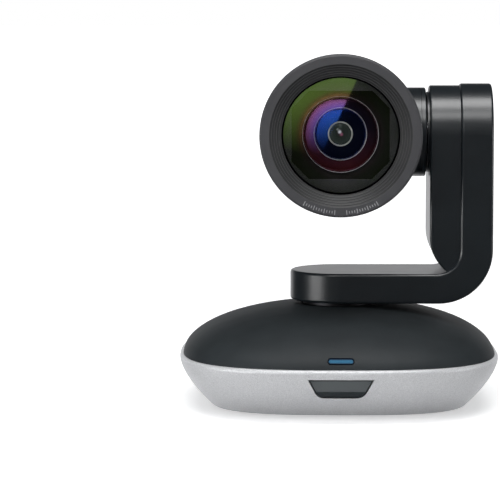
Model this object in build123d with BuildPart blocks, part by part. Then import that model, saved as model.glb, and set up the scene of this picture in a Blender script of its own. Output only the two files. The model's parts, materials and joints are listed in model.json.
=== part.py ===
"""Desktop pan-tilt-zoom conference camera, modelled as an assembly of separate pieces.

Frame: +Z up, the lens looks along -Y, +X is the side of the arm. The origin is on the surface
that the camera stands on, on the pan axis. All sizes are in millimetres.

Five groups of pieces: the base (shells, chassis, electronics, pan drive), the L-shaped arm that pans on
it, the head that tilts on the arm, the zoom and focus carriages inside the head, and the small rotors.
"""

from build123d import *
from math import acos, cos, pi, sin, sqrt, tan
import os

# ---------------------------------------------------------------- driving dimensions

# Base, a rounded square in plan
BASE_HALF_X = 65.5  # widest half width of the lower shell
BASE_HALF_Y = 65.0  # widest half depth
RIM_POWER = 2.9  # superellipse power of the rim, 2 is an ellipse
FLOOR_Z = 1.0  # underside of the lower shell, the feet stand below it
WIDEST_Z = 20.8  # height at which the lower shell is widest
RIM_Z = 22.3  # parting plane between lower shell and top cover
TUCK_X = 13.0  # how far the lower shell tucks in at its foot, side and front
TUCK_Y = 22.0
TUCK_POWER = 1.5
SHELL_WALL = 2.4
SHELL_FLOOR = 2.0

# Top cover, a flattened dome
COVER_HALF_X = 64.1
COVER_HALF_Y = 63.6
COVER_RISE = 20.3
COVER_SIDE_POWER = 2.2
COVER_HEIGHT_POWER = 1.64
COVER_WALL = 2.2
COVER_FLAT_R = 17.0  # flat top of the dome, round the pan hub
COVER_HOLE_R = 15.6

# Arm
ARM_HALF_DEPTH = 20.0
BEAM_BOTTOM_Z = 43.4
BEAM_TOP_Z = 55.6
POST_INNER_X = 49.2
POST_OUTER_X = 62.5
ARM_OUTER_BEND = 22.0
ARM_INNER_BEND = 10.0
ARM_WALL = 2.0
ARM_EDGE_R = 1.1
INSERT_X = 36.7  # inner face of the arm's inner cover
INSERT_HALF_DEPTH = 19.2
INSERT_TOE_Z = 71.0  # where the inner cover starts to sweep into the bend
INSERT_TOE_X = 43.6

# Axes
TILT_Z = 112.5  # height of the tilt axis, which lies along X over the pan axis
LENS_Z = 113.5  # height of the optical axis

# Head, turned about the optical axis
HEAD_R = 29.6
HEAD_WALL = 2.0
HEAD_FRONT_Y = -33.0
HEAD_SEAM_Y = 19.0  # just behind the side boss
HEAD_BACK_Y = 41.0
BEZEL_R = 32.5
BEZEL_FRONT_Y = -45.0
GLASS_R = 24.1
BOSS_R = 18.3  # side boss of the head, round the tilt axis
BOSS_END_X = 35.4

# Drives
PAN_MODULE = 0.6
PAN_GEAR_TEETH = 72
TILT_MODULE = 0.5
TILT_GEAR_TEETH = 60
PINION_TEETH = 18
PRESSURE_ANGLE = 20.0
BACKLASH = 0.16
PAN_CENTRES = PAN_MODULE * (PAN_GEAR_TEETH + PINION_TEETH) / 2
TILT_CENTRES = TILT_MODULE * (TILT_GEAR_TEETH + PINION_TEETH) / 2

# Reference planes: the row's XZ and YZ planes with Z up, and a plane through the optical axis
SIDE = Plane(origin=(0, 0, 0), x_dir=(1, 0, 0), z_dir=(0, -1, 0))
LENS_PLANE = Plane(origin=(0, 0, LENS_Z), x_dir=(0, 1, 0), z_dir=(1, 0, 0))
LENS_AXIS = Axis((0, 0, LENS_Z), (0, 1, 0))
TILT_PLANE = Plane(origin=(0, 0, TILT_Z), x_dir=(0, 1, 0), z_dir=(1, 0, 0))
TILT_AXIS = Axis((0, 0, TILT_Z), (1, 0, 0))
# Half planes for turned profiles: first along the axis, then outwards
PAN_SECTION = Plane(origin=(0, 0, 0), x_dir=(0, 0, 1), z_dir=(0, 1, 0))
TILT_SECTION = Plane(origin=(0, 0, TILT_Z), x_dir=(1, 0, 0), z_dir=(0, -1, 0))

finished = []


def keep(part, name):
    """Labels a finished piece, to be written at the end."""
    part.label = name
    finished.append(part)


# ---------------------------------------------------------------- shared shapes


def superellipse_points(half_x, half_y, power, count=48):
    """Points of a superellipse, for a closed spline."""
    points = []
    for i in range(count):
        c, s = cos(2 * pi * i / count), sin(2 * pi * i / count)
        points.append(
            (
                half_x * abs(c) ** (2 / power) * (1 if c >= 0 else -1),
                half_y * abs(s) ** (2 / power) * (1 if s >= 0 else -1),
            )
        )
    return points


def superellipse_loft(sections):
    """A solid through superellipse sections, each (z, half_x, half_y, power)."""
    with BuildPart() as solid:
        for z, half_x, half_y, power in sections:
            with BuildSketch(Plane.XY.offset(z)):
                with BuildLine():
                    Spline(superellipse_points(half_x, half_y, power), periodic=True)
                make_face()
        loft()
    return solid.part


def tuck(z):
    """Share of the full tuck of the lower shell at height z."""
    return max(0.0, 1 - (z - FLOOR_Z) / (WIDEST_Z - FLOOR_Z)) ** TUCK_POWER


def lower_body(inside=False):
    """The lower shell's outer body, or the hollow inside it."""
    share = 1 - SHELL_WALL / BASE_HALF_X if inside else 1.0
    lift = SHELL_FLOOR if inside else 0.0
    rise = RIM_Z - FLOOR_Z
    sections = []
    for step in (0, 0.14, 0.3, 0.46, 0.62, 0.78, 0.92, 1.0):
        z = FLOOR_Z + step * rise
        half_x = (BASE_HALF_X - TUCK_X * tuck(z)) * share
        half_y = (BASE_HALF_Y - TUCK_Y * tuck(z)) * share
        sections.append((z + lift, half_x, half_y, RIM_POWER))
    return superellipse_loft(sections)


def cover_body(inside=False):
    """The top cover's outer body, or the hollow inside it."""
    share = 1 - COVER_WALL / COVER_HALF_X if inside else 1.0
    drop = COVER_WALL if inside else 0.0
    flat = COVER_FLAT_R / COVER_HALF_X
    sections = []
    for width in (1.0, 0.985, 0.96, 0.92, 0.87, 0.8, 0.71, 0.6, 0.48, 0.37, flat):
        rise = (1 - width**COVER_SIDE_POWER) ** (1 / COVER_HEIGHT_POWER)
        half_x = COVER_HALF_X * width
        half_y = COVER_HALF_Y * width + (half_x - COVER_HALF_Y * width) * (1 - width)
        power = 2 + (RIM_POWER - 2) * width**1.5
        z = RIM_Z + COVER_RISE * rise - drop
        sections.append((z, half_x * share, half_y * share, power))
    return superellipse_loft(sections)


def ring_profile(inner, outer, start, end):
    """A rectangle in a half plane: from radius inner to outer, from start to end along the axis."""
    with Locations(((start + end) / 2, (inner + outer) / 2)):
        Rectangle(end - start, outer - inner)


def turned_ring(plane, axis, inner, outer, start, end):
    """A plain ring about an axis."""
    with BuildPart() as ring:
        with BuildSketch(plane):
            ring_profile(inner, outer, start, end)
        revolve(axis=axis)
    return ring.part


lower_outer = lower_body()
lower_inner = lower_body(inside=True)
cover_outer = cover_body()
cover_inner = cover_body(inside=True)


# Cylinders and boxes stand on their base; the rotation lays a cylinder along Y
ALONG_Y = (-90, 0, 0)
STAND = (Align.CENTER, Align.CENTER, Align.MIN)


def lens_plane(y):
    """A plane across the optical axis at y, seen from the front, with Z up."""
    return Plane(origin=(0, y, LENS_Z), x_dir=(1, 0, 0), z_dir=(0, -1, 0))


def gear_points(module, teeth, first_angle, flank_steps=4):
    """Outline of an involute spur gear with one tooth centred on first_angle, in degrees."""
    pitch_r = module * teeth / 2
    base_r = pitch_r * cos(PRESSURE_ANGLE * pi / 180)
    root_r, tip_r = pitch_r - 1.25 * module, pitch_r + module

    def involute(radius):
        angle = acos(min(1.0, base_r / radius))
        return tan(angle) - angle

    half_at_pitch = pi / (2 * teeth) - BACKLASH / (4 * pitch_r)
    radii = [root_r] + [
        max(root_r, base_r) + (tip_r - max(root_r, base_r)) * i / flank_steps
        for i in range(flank_steps + 1)
    ]
    flank = []
    for radius in radii:
        half = half_at_pitch + involute(pitch_r) - involute(max(radius, base_r))
        if not flank or radius > flank[-1][0] + 1e-6:
            flank.append((radius, half))
    points = []
    for tooth in range(teeth):
        middle = first_angle * pi / 180 + 2 * pi * tooth / teeth
        turns = [(r, middle - h) for r, h in flank] + [(r, middle + h) for r, h in reversed(flank)]
        points += [(r * cos(a), r * sin(a)) for r, a in turns]
    return points


def bearing_rings(plane, axis, radii, start, end, ball_r):
    """Outer and inner ring of a grooved ball bearing. radii: bore, inner land, outer land, outside."""
    bore, inner_land, outer_land, outside = radii
    ball_circle, middle = (inner_land + outer_land) / 2, (start + end) / 2
    rings = []
    for low, high in ((outer_land, outside), (bore, inner_land)):
        with BuildPart() as ring:
            with BuildSketch(plane):
                ring_profile(low, high, start, end)
                with Locations((middle, ball_circle)):
                    Circle(ball_r + 0.05, mode=Mode.SUBTRACT)
            revolve(axis=axis)
        rings.append(ring.part)
    return rings


# ================================================================ base


# Window in the front of the lower shell, for the remote control's infrared receiver
WINDOW_TOP_Z, WINDOW_BOTTOM_Z = 18.5, 10.0
WINDOW_TOP_HALF, WINDOW_BOTTOM_HALF = 13.1, 9.0
WINDOW_CORNER_R = 4.2
WINDOW_FOLD_Z = 13.2
WINDOW_GAP = 0.35
WINDOW_FACE_Y = {WINDOW_TOP_Z: -62.8, WINDOW_FOLD_Z: -59.6, WINDOW_BOTTOM_Z: -55.9}
WINDOW_THICK = 1.8  # measured along Y

# Recess for the sockets at the back
PORTS_HALF_X = 33.0
PORTS_BOTTOM_Z, PORTS_TOP_Z = 4.3, 18.9
PORTS_FRAME = 1.5
PANEL_BACK_Y, PANEL_FACE_Y = 45.9, 47.5

# Fastening points
SCREW_SPOTS = [(x, y) for x in (-25, 25) for y in (-27, 27)]
FOOT_SPOTS = [(x, y) for x in (-35, 35) for y in (-26, 26)]
FOOT_R = 4.5
FOOT_SINK = 0.6
SHELL_POST_TOP, SHELL_POST_R = 20.3, 4.2
TRIPOD_BOSS_TOP, TRIPOD_BOSS_R = 12.0, 7.0
FRONT_CLEAR = 75.0  # distance of a plane in front of the base, from which its front is cut
TRIPOD_BORE_R = 2.6  # bore of the 1/4 inch tripod thread at its crests
TRIPOD_BOTTOM, TRIPOD_TOP = 1.2, 10.8


def window_outline(gap):
    """Trapezoid with rounded corners, in X and Z, drawn into the current sketch."""
    outline = Polygon(
        (-WINDOW_TOP_HALF + gap, WINDOW_TOP_Z - gap),
        (WINDOW_TOP_HALF - gap, WINDOW_TOP_Z - gap),
        (WINDOW_BOTTOM_HALF - gap / 2, WINDOW_BOTTOM_Z + gap),
        (-WINDOW_BOTTOM_HALF + gap / 2, WINDOW_BOTTOM_Z + gap),
        align=None,
    )
    fillet(outline.vertices().sort_by(Axis.Y)[:2], WINDOW_CORNER_R)


with BuildPart() as ports_frame:
    with BuildSketch(SIDE.offset(-(PANEL_BACK_Y - 3))):
        with Locations((0, (PORTS_BOTTOM_Z + PORTS_TOP_Z) / 2)):
            RectangleRounded(
                2 * (PORTS_HALF_X + PORTS_FRAME),
                PORTS_TOP_Z - PORTS_BOTTOM_Z + 2 * PORTS_FRAME,
                2.5 + PORTS_FRAME,
            )
    extrude(amount=-30)
    add(lower_outer, mode=Mode.INTERSECT)

with BuildPart() as lower_shell:
    add(lower_outer)
    fillet(lower_shell.edges().sort_by(Axis.Z)[0], 2.4)
    fillet(lower_shell.edges().sort_by(Axis.Z)[-1], 1.3)
    add(lower_inner, mode=Mode.SUBTRACT)
    add(ports_frame.part)
    with Locations(*[(x, y, SHELL_FLOOR) for x, y in SCREW_SPOTS]):
        Cylinder(SHELL_POST_R, SHELL_POST_TOP - SHELL_FLOOR, align=STAND)
    with Locations((0, 0, SHELL_FLOOR)):
        Cylinder(TRIPOD_BOSS_R, TRIPOD_BOSS_TOP - SHELL_FLOOR, align=STAND)
    with Locations(*[(x, y, FLOOR_Z) for x, y in FOOT_SPOTS]):
        Cylinder(FOOT_R + 0.1, FOOT_SINK, align=STAND, mode=Mode.SUBTRACT)
    with Locations(*[(x, y, FLOOR_Z) for x, y in SCREW_SPOTS]):
        Cylinder(2.9, 2.6, align=STAND, mode=Mode.SUBTRACT)
        Cylinder(1.5, 30, align=STAND, mode=Mode.SUBTRACT)
    with Locations((0, 0, FLOOR_Z)):
        Cylinder(5.5, 10.0, align=STAND, mode=Mode.SUBTRACT)
    with BuildSketch(SIDE.offset(FRONT_CLEAR)):
        window_outline(0)
    extrude(amount=-25, mode=Mode.SUBTRACT)
    with BuildSketch(SIDE.offset(-(PANEL_BACK_Y - 3))):
        with Locations((0, (PORTS_BOTTOM_Z + PORTS_TOP_Z) / 2)):
            RectangleRounded(2 * PORTS_HALF_X, PORTS_TOP_Z - PORTS_BOTTOM_Z, 2.5)
    extrude(amount=-30, mode=Mode.SUBTRACT)
keep(lower_shell.part, "lower_shell")

# Status light in the front of the cover
LIGHT_Z = 25.6
LIGHT_LENGTH, LIGHT_HEIGHT = 9.9, 1.7
LIGHT_GAP = 0.42
LIGHT_BACK_Y = -55.9

# Rim of the cover that locates it inside the lower shell
LIP_HALF_X, LIP_HALF_Y = 62.0, 61.1
LIP_WALL = 1.4
LIP_DEPTH, LIP_ROOT = 1.7, 1.0
COVER_POST_R = 3.3

with BuildPart() as cover_posts:
    with Locations(*[(x, y, RIM_Z - 0.5) for x, y in SCREW_SPOTS]):
        Cylinder(COVER_POST_R, 18, align=STAND)
    add(cover_outer, mode=Mode.INTERSECT)

with BuildPart() as top_cover:
    add(cover_outer)
    add(cover_inner, mode=Mode.SUBTRACT)
    with BuildSketch(Plane.XY.offset(RIM_Z - LIP_DEPTH)):
        for inset, mode in ((0.0, Mode.ADD), (LIP_WALL, Mode.SUBTRACT)):
            with BuildLine():
                edge = superellipse_points(LIP_HALF_X - inset, LIP_HALF_Y - inset, RIM_POWER)
                Spline(edge, periodic=True)
            make_face(mode=mode)
    extrude(amount=LIP_DEPTH + LIP_ROOT)
    add(cover_posts.part)
    with Locations(*[(x, y, SHELL_POST_TOP + 0.2) for x, y in SCREW_SPOTS]):
        Cylinder(COVER_POST_R, 4, align=STAND)
    with Locations(*[(x, y, SHELL_POST_TOP) for x, y in SCREW_SPOTS]):
        Cylinder(1.25, 9, align=STAND, mode=Mode.SUBTRACT)
    with Locations((0, 0, 35)):
        Cylinder(COVER_HOLE_R, 12, align=STAND, mode=Mode.SUBTRACT)
    with BuildSketch(SIDE.offset(FRONT_CLEAR)):
        with Locations((0, LIGHT_Z)):
            SlotOverall(LIGHT_LENGTH + 2 * LIGHT_GAP, LIGHT_HEIGHT + 2 * LIGHT_GAP)
    extrude(amount=-20, mode=Mode.SUBTRACT)
    fillet(top_cover.edges().filter_by(GeomType.CIRCLE).sort_by(Axis.Z)[-1], 0.5)
keep(top_cover.part, "top_cover")

with BuildPart() as status_light_pipe:
    with BuildSketch(SIDE.offset(FRONT_CLEAR)):
        with Locations((0, LIGHT_Z)):
            SlotOverall(LIGHT_LENGTH, LIGHT_HEIGHT)
    extrude(amount=-(FRONT_CLEAR + LIGHT_BACK_Y))
    add(cover_outer, mode=Mode.INTERSECT)
keep(status_light_pipe.part, "status_light_pipe")

with BuildPart() as ir_window:
    with BuildSketch(SIDE.offset(FRONT_CLEAR)):
        window_outline(WINDOW_GAP)
    extrude(amount=-25)
    with BuildSketch(Plane.YZ):
        with BuildLine():
            face = [(y, z) for z, y in WINDOW_FACE_Y.items()]
            back = [(y + WINDOW_THICK, z) for y, z in reversed(face)]
            Polyline(*face, *back, close=True)
        make_face()
    extrude(amount=20, both=True, mode=Mode.INTERSECT)
keep(ir_window.part, "ir_window")

# Back panel with its sockets and the security lock slot
USB_X, USB_BOTTOM_Z = -12.0, 7.5
JACK_X, JACK_Z = 10.0, 12.6
LOCK_X, LOCK_Z = 24.5, 11.6
USB_WIDTH, USB_HEIGHT = 12.0, 10.8

with BuildPart() as rear_panel:
    with BuildSketch(SIDE.offset(-PANEL_BACK_Y)):
        with Locations((0, (PORTS_BOTTOM_Z + PORTS_TOP_Z) / 2)):
            RectangleRounded(2 * PORTS_HALF_X - 0.2, PORTS_TOP_Z - PORTS_BOTTOM_Z - 0.2, 2.4)
        with Locations((USB_X, USB_BOTTOM_Z + USB_HEIGHT / 2)):
            Rectangle(USB_WIDTH + 0.3, USB_HEIGHT + 0.3, mode=Mode.SUBTRACT)
        with Locations((JACK_X, JACK_Z)):
            Circle(4.2, mode=Mode.SUBTRACT)
        with Locations((LOCK_X, LOCK_Z)):
            SlotOverall(7.2, 3.2, mode=Mode.SUBTRACT)
    extrude(amount=-(PANEL_FACE_Y - PANEL_BACK_Y))
keep(rear_panel.part, "rear_panel")

with BuildPart() as usb_socket:
    with BuildSketch(SIDE.offset(-33.6)):
        with Locations((USB_X, USB_BOTTOM_Z + USB_HEIGHT / 2)):
            RectangleRounded(USB_WIDTH, USB_HEIGHT, 0.5)
    extrude(amount=-(47.9 - 33.6))
    with BuildSketch(SIDE.offset(-47.9)):
        with BuildLine():
            Polyline(
                (USB_X - 4.25, USB_BOTTOM_Z + 1.4),
                (USB_X + 4.25, USB_BOTTOM_Z + 1.4),
                (USB_X + 4.25, USB_BOTTOM_Z + 7.6),
                (USB_X + 2.6, USB_BOTTOM_Z + 9.2),
                (USB_X - 2.6, USB_BOTTOM_Z + 9.2),
                (USB_X - 4.25, USB_BOTTOM_Z + 7.6),
                close=True,
            )
        make_face()
        with Locations((USB_X, USB_BOTTOM_Z + 5.2)):
            Rectangle(5.6, 3.2, mode=Mode.SUBTRACT)
    extrude(amount=9.0, mode=Mode.SUBTRACT)
keep(usb_socket.part, "usb_socket")

with BuildPart() as power_jack:
    with Locations((JACK_X, 34.6, JACK_Z - 5.1)):
        Box(9, 45.8 - 34.6, 10.2, align=(Align.CENTER, Align.MIN, Align.MIN))
    with Locations((JACK_X, 45.0, JACK_Z)):
        Cylinder(4.1, 47.8 - 45.0, rotation=ALONG_Y, align=STAND)
    with BuildSketch(SIDE.offset(-47.8)):
        with Locations((JACK_X, JACK_Z)):
            Circle(3.2)
            Circle(1.05, mode=Mode.SUBTRACT)
    extrude(amount=9.5, mode=Mode.SUBTRACT)
keep(power_jack.part, "power_jack")

with BuildPart() as lock_slot_plate:
    with BuildSketch(SIDE.offset(-44.2)):
        with Locations((LOCK_X, LOCK_Z)):
            RectangleRounded(13, 9, 1)
            SlotOverall(7.0, 3.0, mode=Mode.SUBTRACT)
    extrude(amount=-1.6)
keep(lock_slot_plate.part, "lock_slot_plate")

with BuildPart() as rubber_feet:
    with Locations(*[(x, y, 0) for x, y in FOOT_SPOTS]):
        Cylinder(FOOT_R, FLOOR_Z + FOOT_SINK, align=STAND)
    chamfer(rubber_feet.edges().group_by(Axis.Z)[0], 0.3)
keep(rubber_feet.part, "rubber_feet")


def screws(plane, spots, head_r, head_h, shank_r, shank_l):
    """Socket screws: heads stand on the plane, shanks go down from it."""
    with BuildPart() as group:
        with BuildSketch(plane):
            with Locations(*spots):
                Circle(head_r)
        extrude(amount=head_h)
        with BuildSketch(plane):
            with Locations(*spots):
                Circle(shank_r)
        extrude(amount=-shank_l)
        with BuildSketch(plane.offset(head_h)):
            with Locations(*spots):
                RegularPolygon(head_r * 0.55, 6)
        extrude(amount=-head_h * 0.6, mode=Mode.SUBTRACT)
    return group.part


FRAME_SPOTS = [(0, 33), (28.6, -16.5), (-28.6, -16.5)]
FRAME_Z, FRAME_PLATE = 29.0, 2.0
PAN_BEARING_Z, PAN_BEARING_TOP = 31.0, 37.0
SCREW_SEAT_Z = 3.6

with BuildPart() as base_screws:
    underside = Plane(origin=(0, 0, SCREW_SEAT_Z), x_dir=(1, 0, 0), z_dir=(0, 0, -1))
    add(screws(underside, SCREW_SPOTS, 2.6, 2.0, 1.2, 23.0))
    add(screws(Plane.XY.offset(FRAME_Z + FRAME_PLATE), FRAME_SPOTS, 2.4, 1.8, 1.2, 7.0))
keep(base_screws.part, "base_screws")

with BuildPart() as tripod_insert:
    with Locations((0, 0, TRIPOD_BOTTOM)):
        Cylinder(5.4, TRIPOD_TOP - TRIPOD_BOTTOM, align=STAND)
    with Locations((0, 0, TRIPOD_BOTTOM + 4.0)):
        Cylinder(5.45, 1.6, align=STAND)
    with Locations((0, 0, TRIPOD_BOTTOM - 0.1)):
        Cylinder(TRIPOD_BORE_R, 12, align=STAND, mode=Mode.SUBTRACT)
    chamfer(tripod_insert.edges().filter_by(GeomType.CIRCLE).group_by(SortBy.RADIUS)[0], 0.4)
keep(tripod_insert.part, "tripod_insert")

# Chassis: a pressed plate with three posts that carry the pan frame
CHASSIS_Z = 3.2
CHASSIS_TOP = 5.0

with BuildPart() as chassis_plate:
    with BuildSketch(Plane.XY.offset(CHASSIS_Z)):
        with BuildLine():
            Spline(superellipse_points(45, 37, RIM_POWER), periodic=True)
        make_face()
        Circle(7.5, mode=Mode.SUBTRACT)
        with Locations(*SCREW_SPOTS):
            Circle(4.5, mode=Mode.SUBTRACT)
    extrude(amount=CHASSIS_TOP - CHASSIS_Z)
    with Locations(*[(x, y, CHASSIS_TOP - 0.5) for x, y in FRAME_SPOTS]):
        Cylinder(3.0, FRAME_Z - CHASSIS_TOP + 0.5, align=STAND)
    with Locations(*[(x, y, FRAME_Z - 6) for x, y in FRAME_SPOTS]):
        Cylinder(1.25, 6, align=STAND, mode=Mode.SUBTRACT)
keep(chassis_plate.part, "chassis_plate")

# Boards. Spacers under the main board stand on the chassis.
BOARD_Z, BOARD_TOP = 5.9, 7.5

with BuildPart() as main_board:
    with BuildSketch(Plane.XY.offset(BOARD_Z)):
        outline = Polygon((-36, 9), (36, 9), (36, 33), (27, 42.4), (-27, 42.4), (-36, 33), align=None)
        fillet(outline.vertices(), 1.5)
        with Locations((0, 33)):
            Circle(4.0, mode=Mode.SUBTRACT)
        with Locations((25, 27), (-25, 27)):
            Circle(4.8, mode=Mode.SUBTRACT)
    extrude(amount=BOARD_TOP - BOARD_Z)
    with Locations(*[(x, y, CHASSIS_TOP) for x in (-33, 33) for y in (12, 24)]):
        Cylinder(1.8, BOARD_Z - CHASSIS_TOP + 0.4, align=STAND)
keep(main_board.part, "main_board")

# Chips, capacitors and connectors: centre x, centre y, size x, size y, height
CHIPS = [
    (-24, 15.5, 11, 9, 1.4),
    (24, 15, 12, 10, 1.6),
    (8, 20, 8, 8, 1.2),
    (-3.5, 15, 5, 4, 1.0),
    (18, 33, 4, 5, 1.0),
    (-14, 21, 6, 4, 2.4),
    (31, 29, 3.5, 6, 2.0),
    (-32, 30, 4, 6, 2.6),
]

with BuildPart() as main_board_chips:
    for x, y, width, depth, height in CHIPS:
        with Locations((x, y, BOARD_TOP)):
            Box(width, depth, height, align=STAND)
    for x, y in ((14, 27), (-6, 27), (4, 12)):
        with Locations((x, y, BOARD_TOP)):
            Cylinder(2.0, 5.0, align=STAND)
keep(main_board_chips.part, "main_board_chips")

FRONT_BOARD_Y, FRONT_BOARD_Z = -55.6, 15.0
BOARD_THICK = 1.6

with BuildPart() as front_board:
    with Locations((0, FRONT_BOARD_Y, FRONT_BOARD_Z)):
        Box(26, BOARD_THICK, 12.0, align=(Align.CENTER, Align.MIN, Align.MIN))
    for x in (-3, 3):
        with Locations((x, FRONT_BOARD_Y - 0.1, LIGHT_Z)):
            Box(1.8, 0.2, 1.2)
keep(front_board.part, "front_board")

with BuildPart() as ir_receiver:
    with Locations((0, FRONT_BOARD_Y, FRONT_BOARD_Z + 0.2)):
        Box(5.4, 1.6, 3.4, align=(Align.CENTER, Align.MAX, Align.MIN))
    with Locations((0, FRONT_BOARD_Y - 1.6, FRONT_BOARD_Z + 1.9)):
        Sphere(1.3)
keep(ir_receiver.part, "ir_receiver")

PINION_SHAFT_R = 1.25
RUNNING_FIT = 0.05

PAN_MOTOR_R, PAN_MOTOR_HEIGHT = 11.5, 15.5

with BuildPart() as pan_motor:
    with Locations((0, -PAN_CENTRES, CHASSIS_TOP)):
        Cylinder(PAN_MOTOR_R, PAN_MOTOR_HEIGHT, align=STAND)
    chamfer(pan_motor.edges().group_by(Axis.Z)[-1], 0.6)
    with Locations((0, -PAN_CENTRES, CHASSIS_TOP + PAN_MOTOR_HEIGHT - 0.1)):
        Cylinder(4.0, 1.1, align=STAND)
    with Locations((0, -PAN_CENTRES, 15)):
        Cylinder(PINION_SHAFT_R + RUNNING_FIT, 10, align=STAND, mode=Mode.SUBTRACT)
keep(pan_motor.part, "pan_motor")

with BuildPart() as pan_frame:
    with BuildSketch(Plane.XY.offset(FRAME_Z)):
        Circle(37)
        Circle(15.5, mode=Mode.SUBTRACT)
        with Locations(*SCREW_SPOTS):
            Circle(4.6, mode=Mode.SUBTRACT)
        with Locations(*FRAME_SPOTS):
            Circle(1.4, mode=Mode.SUBTRACT)
    extrude(amount=FRAME_PLATE)
    with BuildSketch(PAN_SECTION):
        ring_profile(18.02, 20.6, PAN_BEARING_Z - 0.5, 38.2)
    revolve(axis=Axis.Z)
    with Locations((0, 0, PAN_BEARING_Z)):
        Cylinder(18.02, 6, align=STAND, mode=Mode.SUBTRACT)
keep(pan_frame.part, "pan_frame")

PAN_BALL_R, PAN_BALL_CIRCLE = 1.55, 14.4
pan_bearing_outer, pan_bearing_inner = bearing_rings(
    PAN_SECTION, Axis.Z, (11.02, 13.3, 15.5, 18.0), PAN_BEARING_Z, PAN_BEARING_TOP, PAN_BALL_R
)
keep(pan_bearing_outer, "pan_bearing_outer")

with BuildPart() as pan_bearing_balls:
    with Locations((0, 0, (PAN_BEARING_Z + PAN_BEARING_TOP) / 2)):
        with PolarLocations(PAN_BALL_CIRCLE, 20):
            Sphere(PAN_BALL_R)
keep(pan_bearing_balls.part, "pan_bearing_balls")

with BuildPart() as pan_home_sensor:
    with Locations((0, 23.3, 23.4)):
        Box(7, 6.4, FRAME_Z - 23.4, align=(Align.CENTER, Align.MIN, Align.MIN))
    with Locations((0, 23.2, 25.1)):
        Box(8, 4.8, 2.2, align=(Align.CENTER, Align.MIN, Align.MIN), mode=Mode.SUBTRACT)
keep(pan_home_sensor.part, "pan_home_sensor")


def cable(points, bend, cable_r):
    """A round cable along straight runs with rounded bends."""
    with BuildPart() as run:
        with BuildLine():
            route = FilletPolyline(*points, radius=bend)
        with BuildSketch(Plane(origin=route @ 0, z_dir=route % 0)):
            Circle(cable_r)
        sweep(path=route)
    return run.part


keep(cable([(-14, 21, 9.9), (-14, 21, 16), (0, 0, 16), (0, 0, 23)], 5, 1.5), "base_harness")

# ================================================================ pan pinion

with BuildPart() as pan_pinion:
    with BuildSketch(Plane(origin=(0, -PAN_CENTRES, 23.9))):
        Polygon(*gear_points(PAN_MODULE, PINION_TEETH, 90 + 180 / PINION_TEETH), align=None)
    extrude(amount=4.4)
    with Locations((0, -PAN_CENTRES, 15.4)):
        Cylinder(PINION_SHAFT_R, 13.2, align=STAND)
keep(pan_pinion.part, "pan_pinion")

# ================================================================ arm

HUB_BORE_R, HUB_R = 7.5, 11.0
HUB_FLANGE_R = 14.8
ARM_FRAME_Z = 46.0
ARM_FRAME_THICK = 2.0
HUB_SCREW_SPOTS = [(x, y) for x in (-7.9, 7.9) for y in (-7.9, 7.9)]

with BuildPart() as pan_hub:
    with BuildSketch(PAN_SECTION):
        ring_profile(HUB_BORE_R, HUB_R, 22.5, PAN_BEARING_TOP + 0.5)
        ring_profile(HUB_BORE_R, 12.4, PAN_BEARING_TOP, 41.5)
        ring_profile(HUB_BORE_R, HUB_FLANGE_R, 41.0, ARM_FRAME_Z)
        with Locations((23.65, 11.3)):
            Rectangle(0.9, 1.4, mode=Mode.SUBTRACT)
    revolve(axis=Axis.Z)
    with Locations(*[(x, y, ARM_FRAME_Z - 5) for x, y in HUB_SCREW_SPOTS]):
        Cylinder(1.05, 6, align=STAND, mode=Mode.SUBTRACT)
keep(pan_hub.part, "pan_hub")

with BuildPart() as pan_gear:
    with BuildSketch(Plane.XY.offset(24.2)):
        Polygon(*gear_points(PAN_MODULE, PAN_GEAR_TEETH, -90), align=None)
        with PolarLocations(16.3, 8):
            Circle(2.8, mode=Mode.SUBTRACT)
    extrude(amount=3.8)
    with Locations((0, 0, 27)):
        Cylinder(13.2, PAN_BEARING_Z - 27, align=STAND)
    with Locations((0, 20, 25.8)):
        Box(3, 6.5, 0.8, align=(Align.CENTER, Align.MIN, Align.MIN))
    with Locations((0, 0, 24)):
        Cylinder(HUB_R + 0.02, 8, align=STAND, mode=Mode.SUBTRACT)
keep(pan_gear.part, "pan_gear")
keep(pan_bearing_inner, "pan_bearing_inner")

with BuildPart() as pan_retaining_ring:
    with BuildSketch(Plane.XY.offset(23.25)):
        Circle(12.6)
        Circle(10.7, mode=Mode.SUBTRACT)
        with Locations((12, 0)):
            Rectangle(6, 3, mode=Mode.SUBTRACT)
    extrude(amount=0.8)
keep(pan_retaining_ring.part, "pan_retaining_ring")


def arm_solid(wall):
    """The L-shaped band of the arm, or with a wall the hollow inside it."""
    half = ARM_HALF_DEPTH - wall
    bottom, top = BEAM_BOTTOM_Z + wall, BEAM_TOP_Z - wall
    inner, outer = POST_INNER_X + wall, POST_OUTER_X - wall
    with BuildPart() as band:
        with BuildSketch(SIDE) as side:
            beam = [(-30, top), (-30, bottom), (outer, bottom)]
            post = [(outer, 150), (inner, 150), (inner, top)]
            Polygon(*beam, *post, align=None)
            fillet(side.vertices().sort_by_distance((outer, bottom, 0))[:1], ARM_OUTER_BEND - wall)
            fillet(side.vertices().sort_by_distance((inner, top, 0))[:1], ARM_INNER_BEND + wall)
        extrude(amount=ARM_HALF_DEPTH + 5, both=True)
        with BuildSketch(Plane.XY):
            Circle(half)
            with Locations((50, 0)):
                Rectangle(100, 2 * half)
        extrude(amount=200, mode=Mode.INTERSECT)
        with BuildSketch(TILT_PLANE):
            Circle(half)
            with Locations((0, -50)):
                Rectangle(2 * half, 100)
        extrude(amount=80, both=True, mode=Mode.INTERSECT)
    return band.part


BOTTOM_OPENING_R = 17.0
BOTTOM_OPENING_END = 36.0
BOTTOM_COVER_TOP = 45.4
POST_OPENING_Z = 66.6
POST_OPENING_HALF = 17.3


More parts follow.
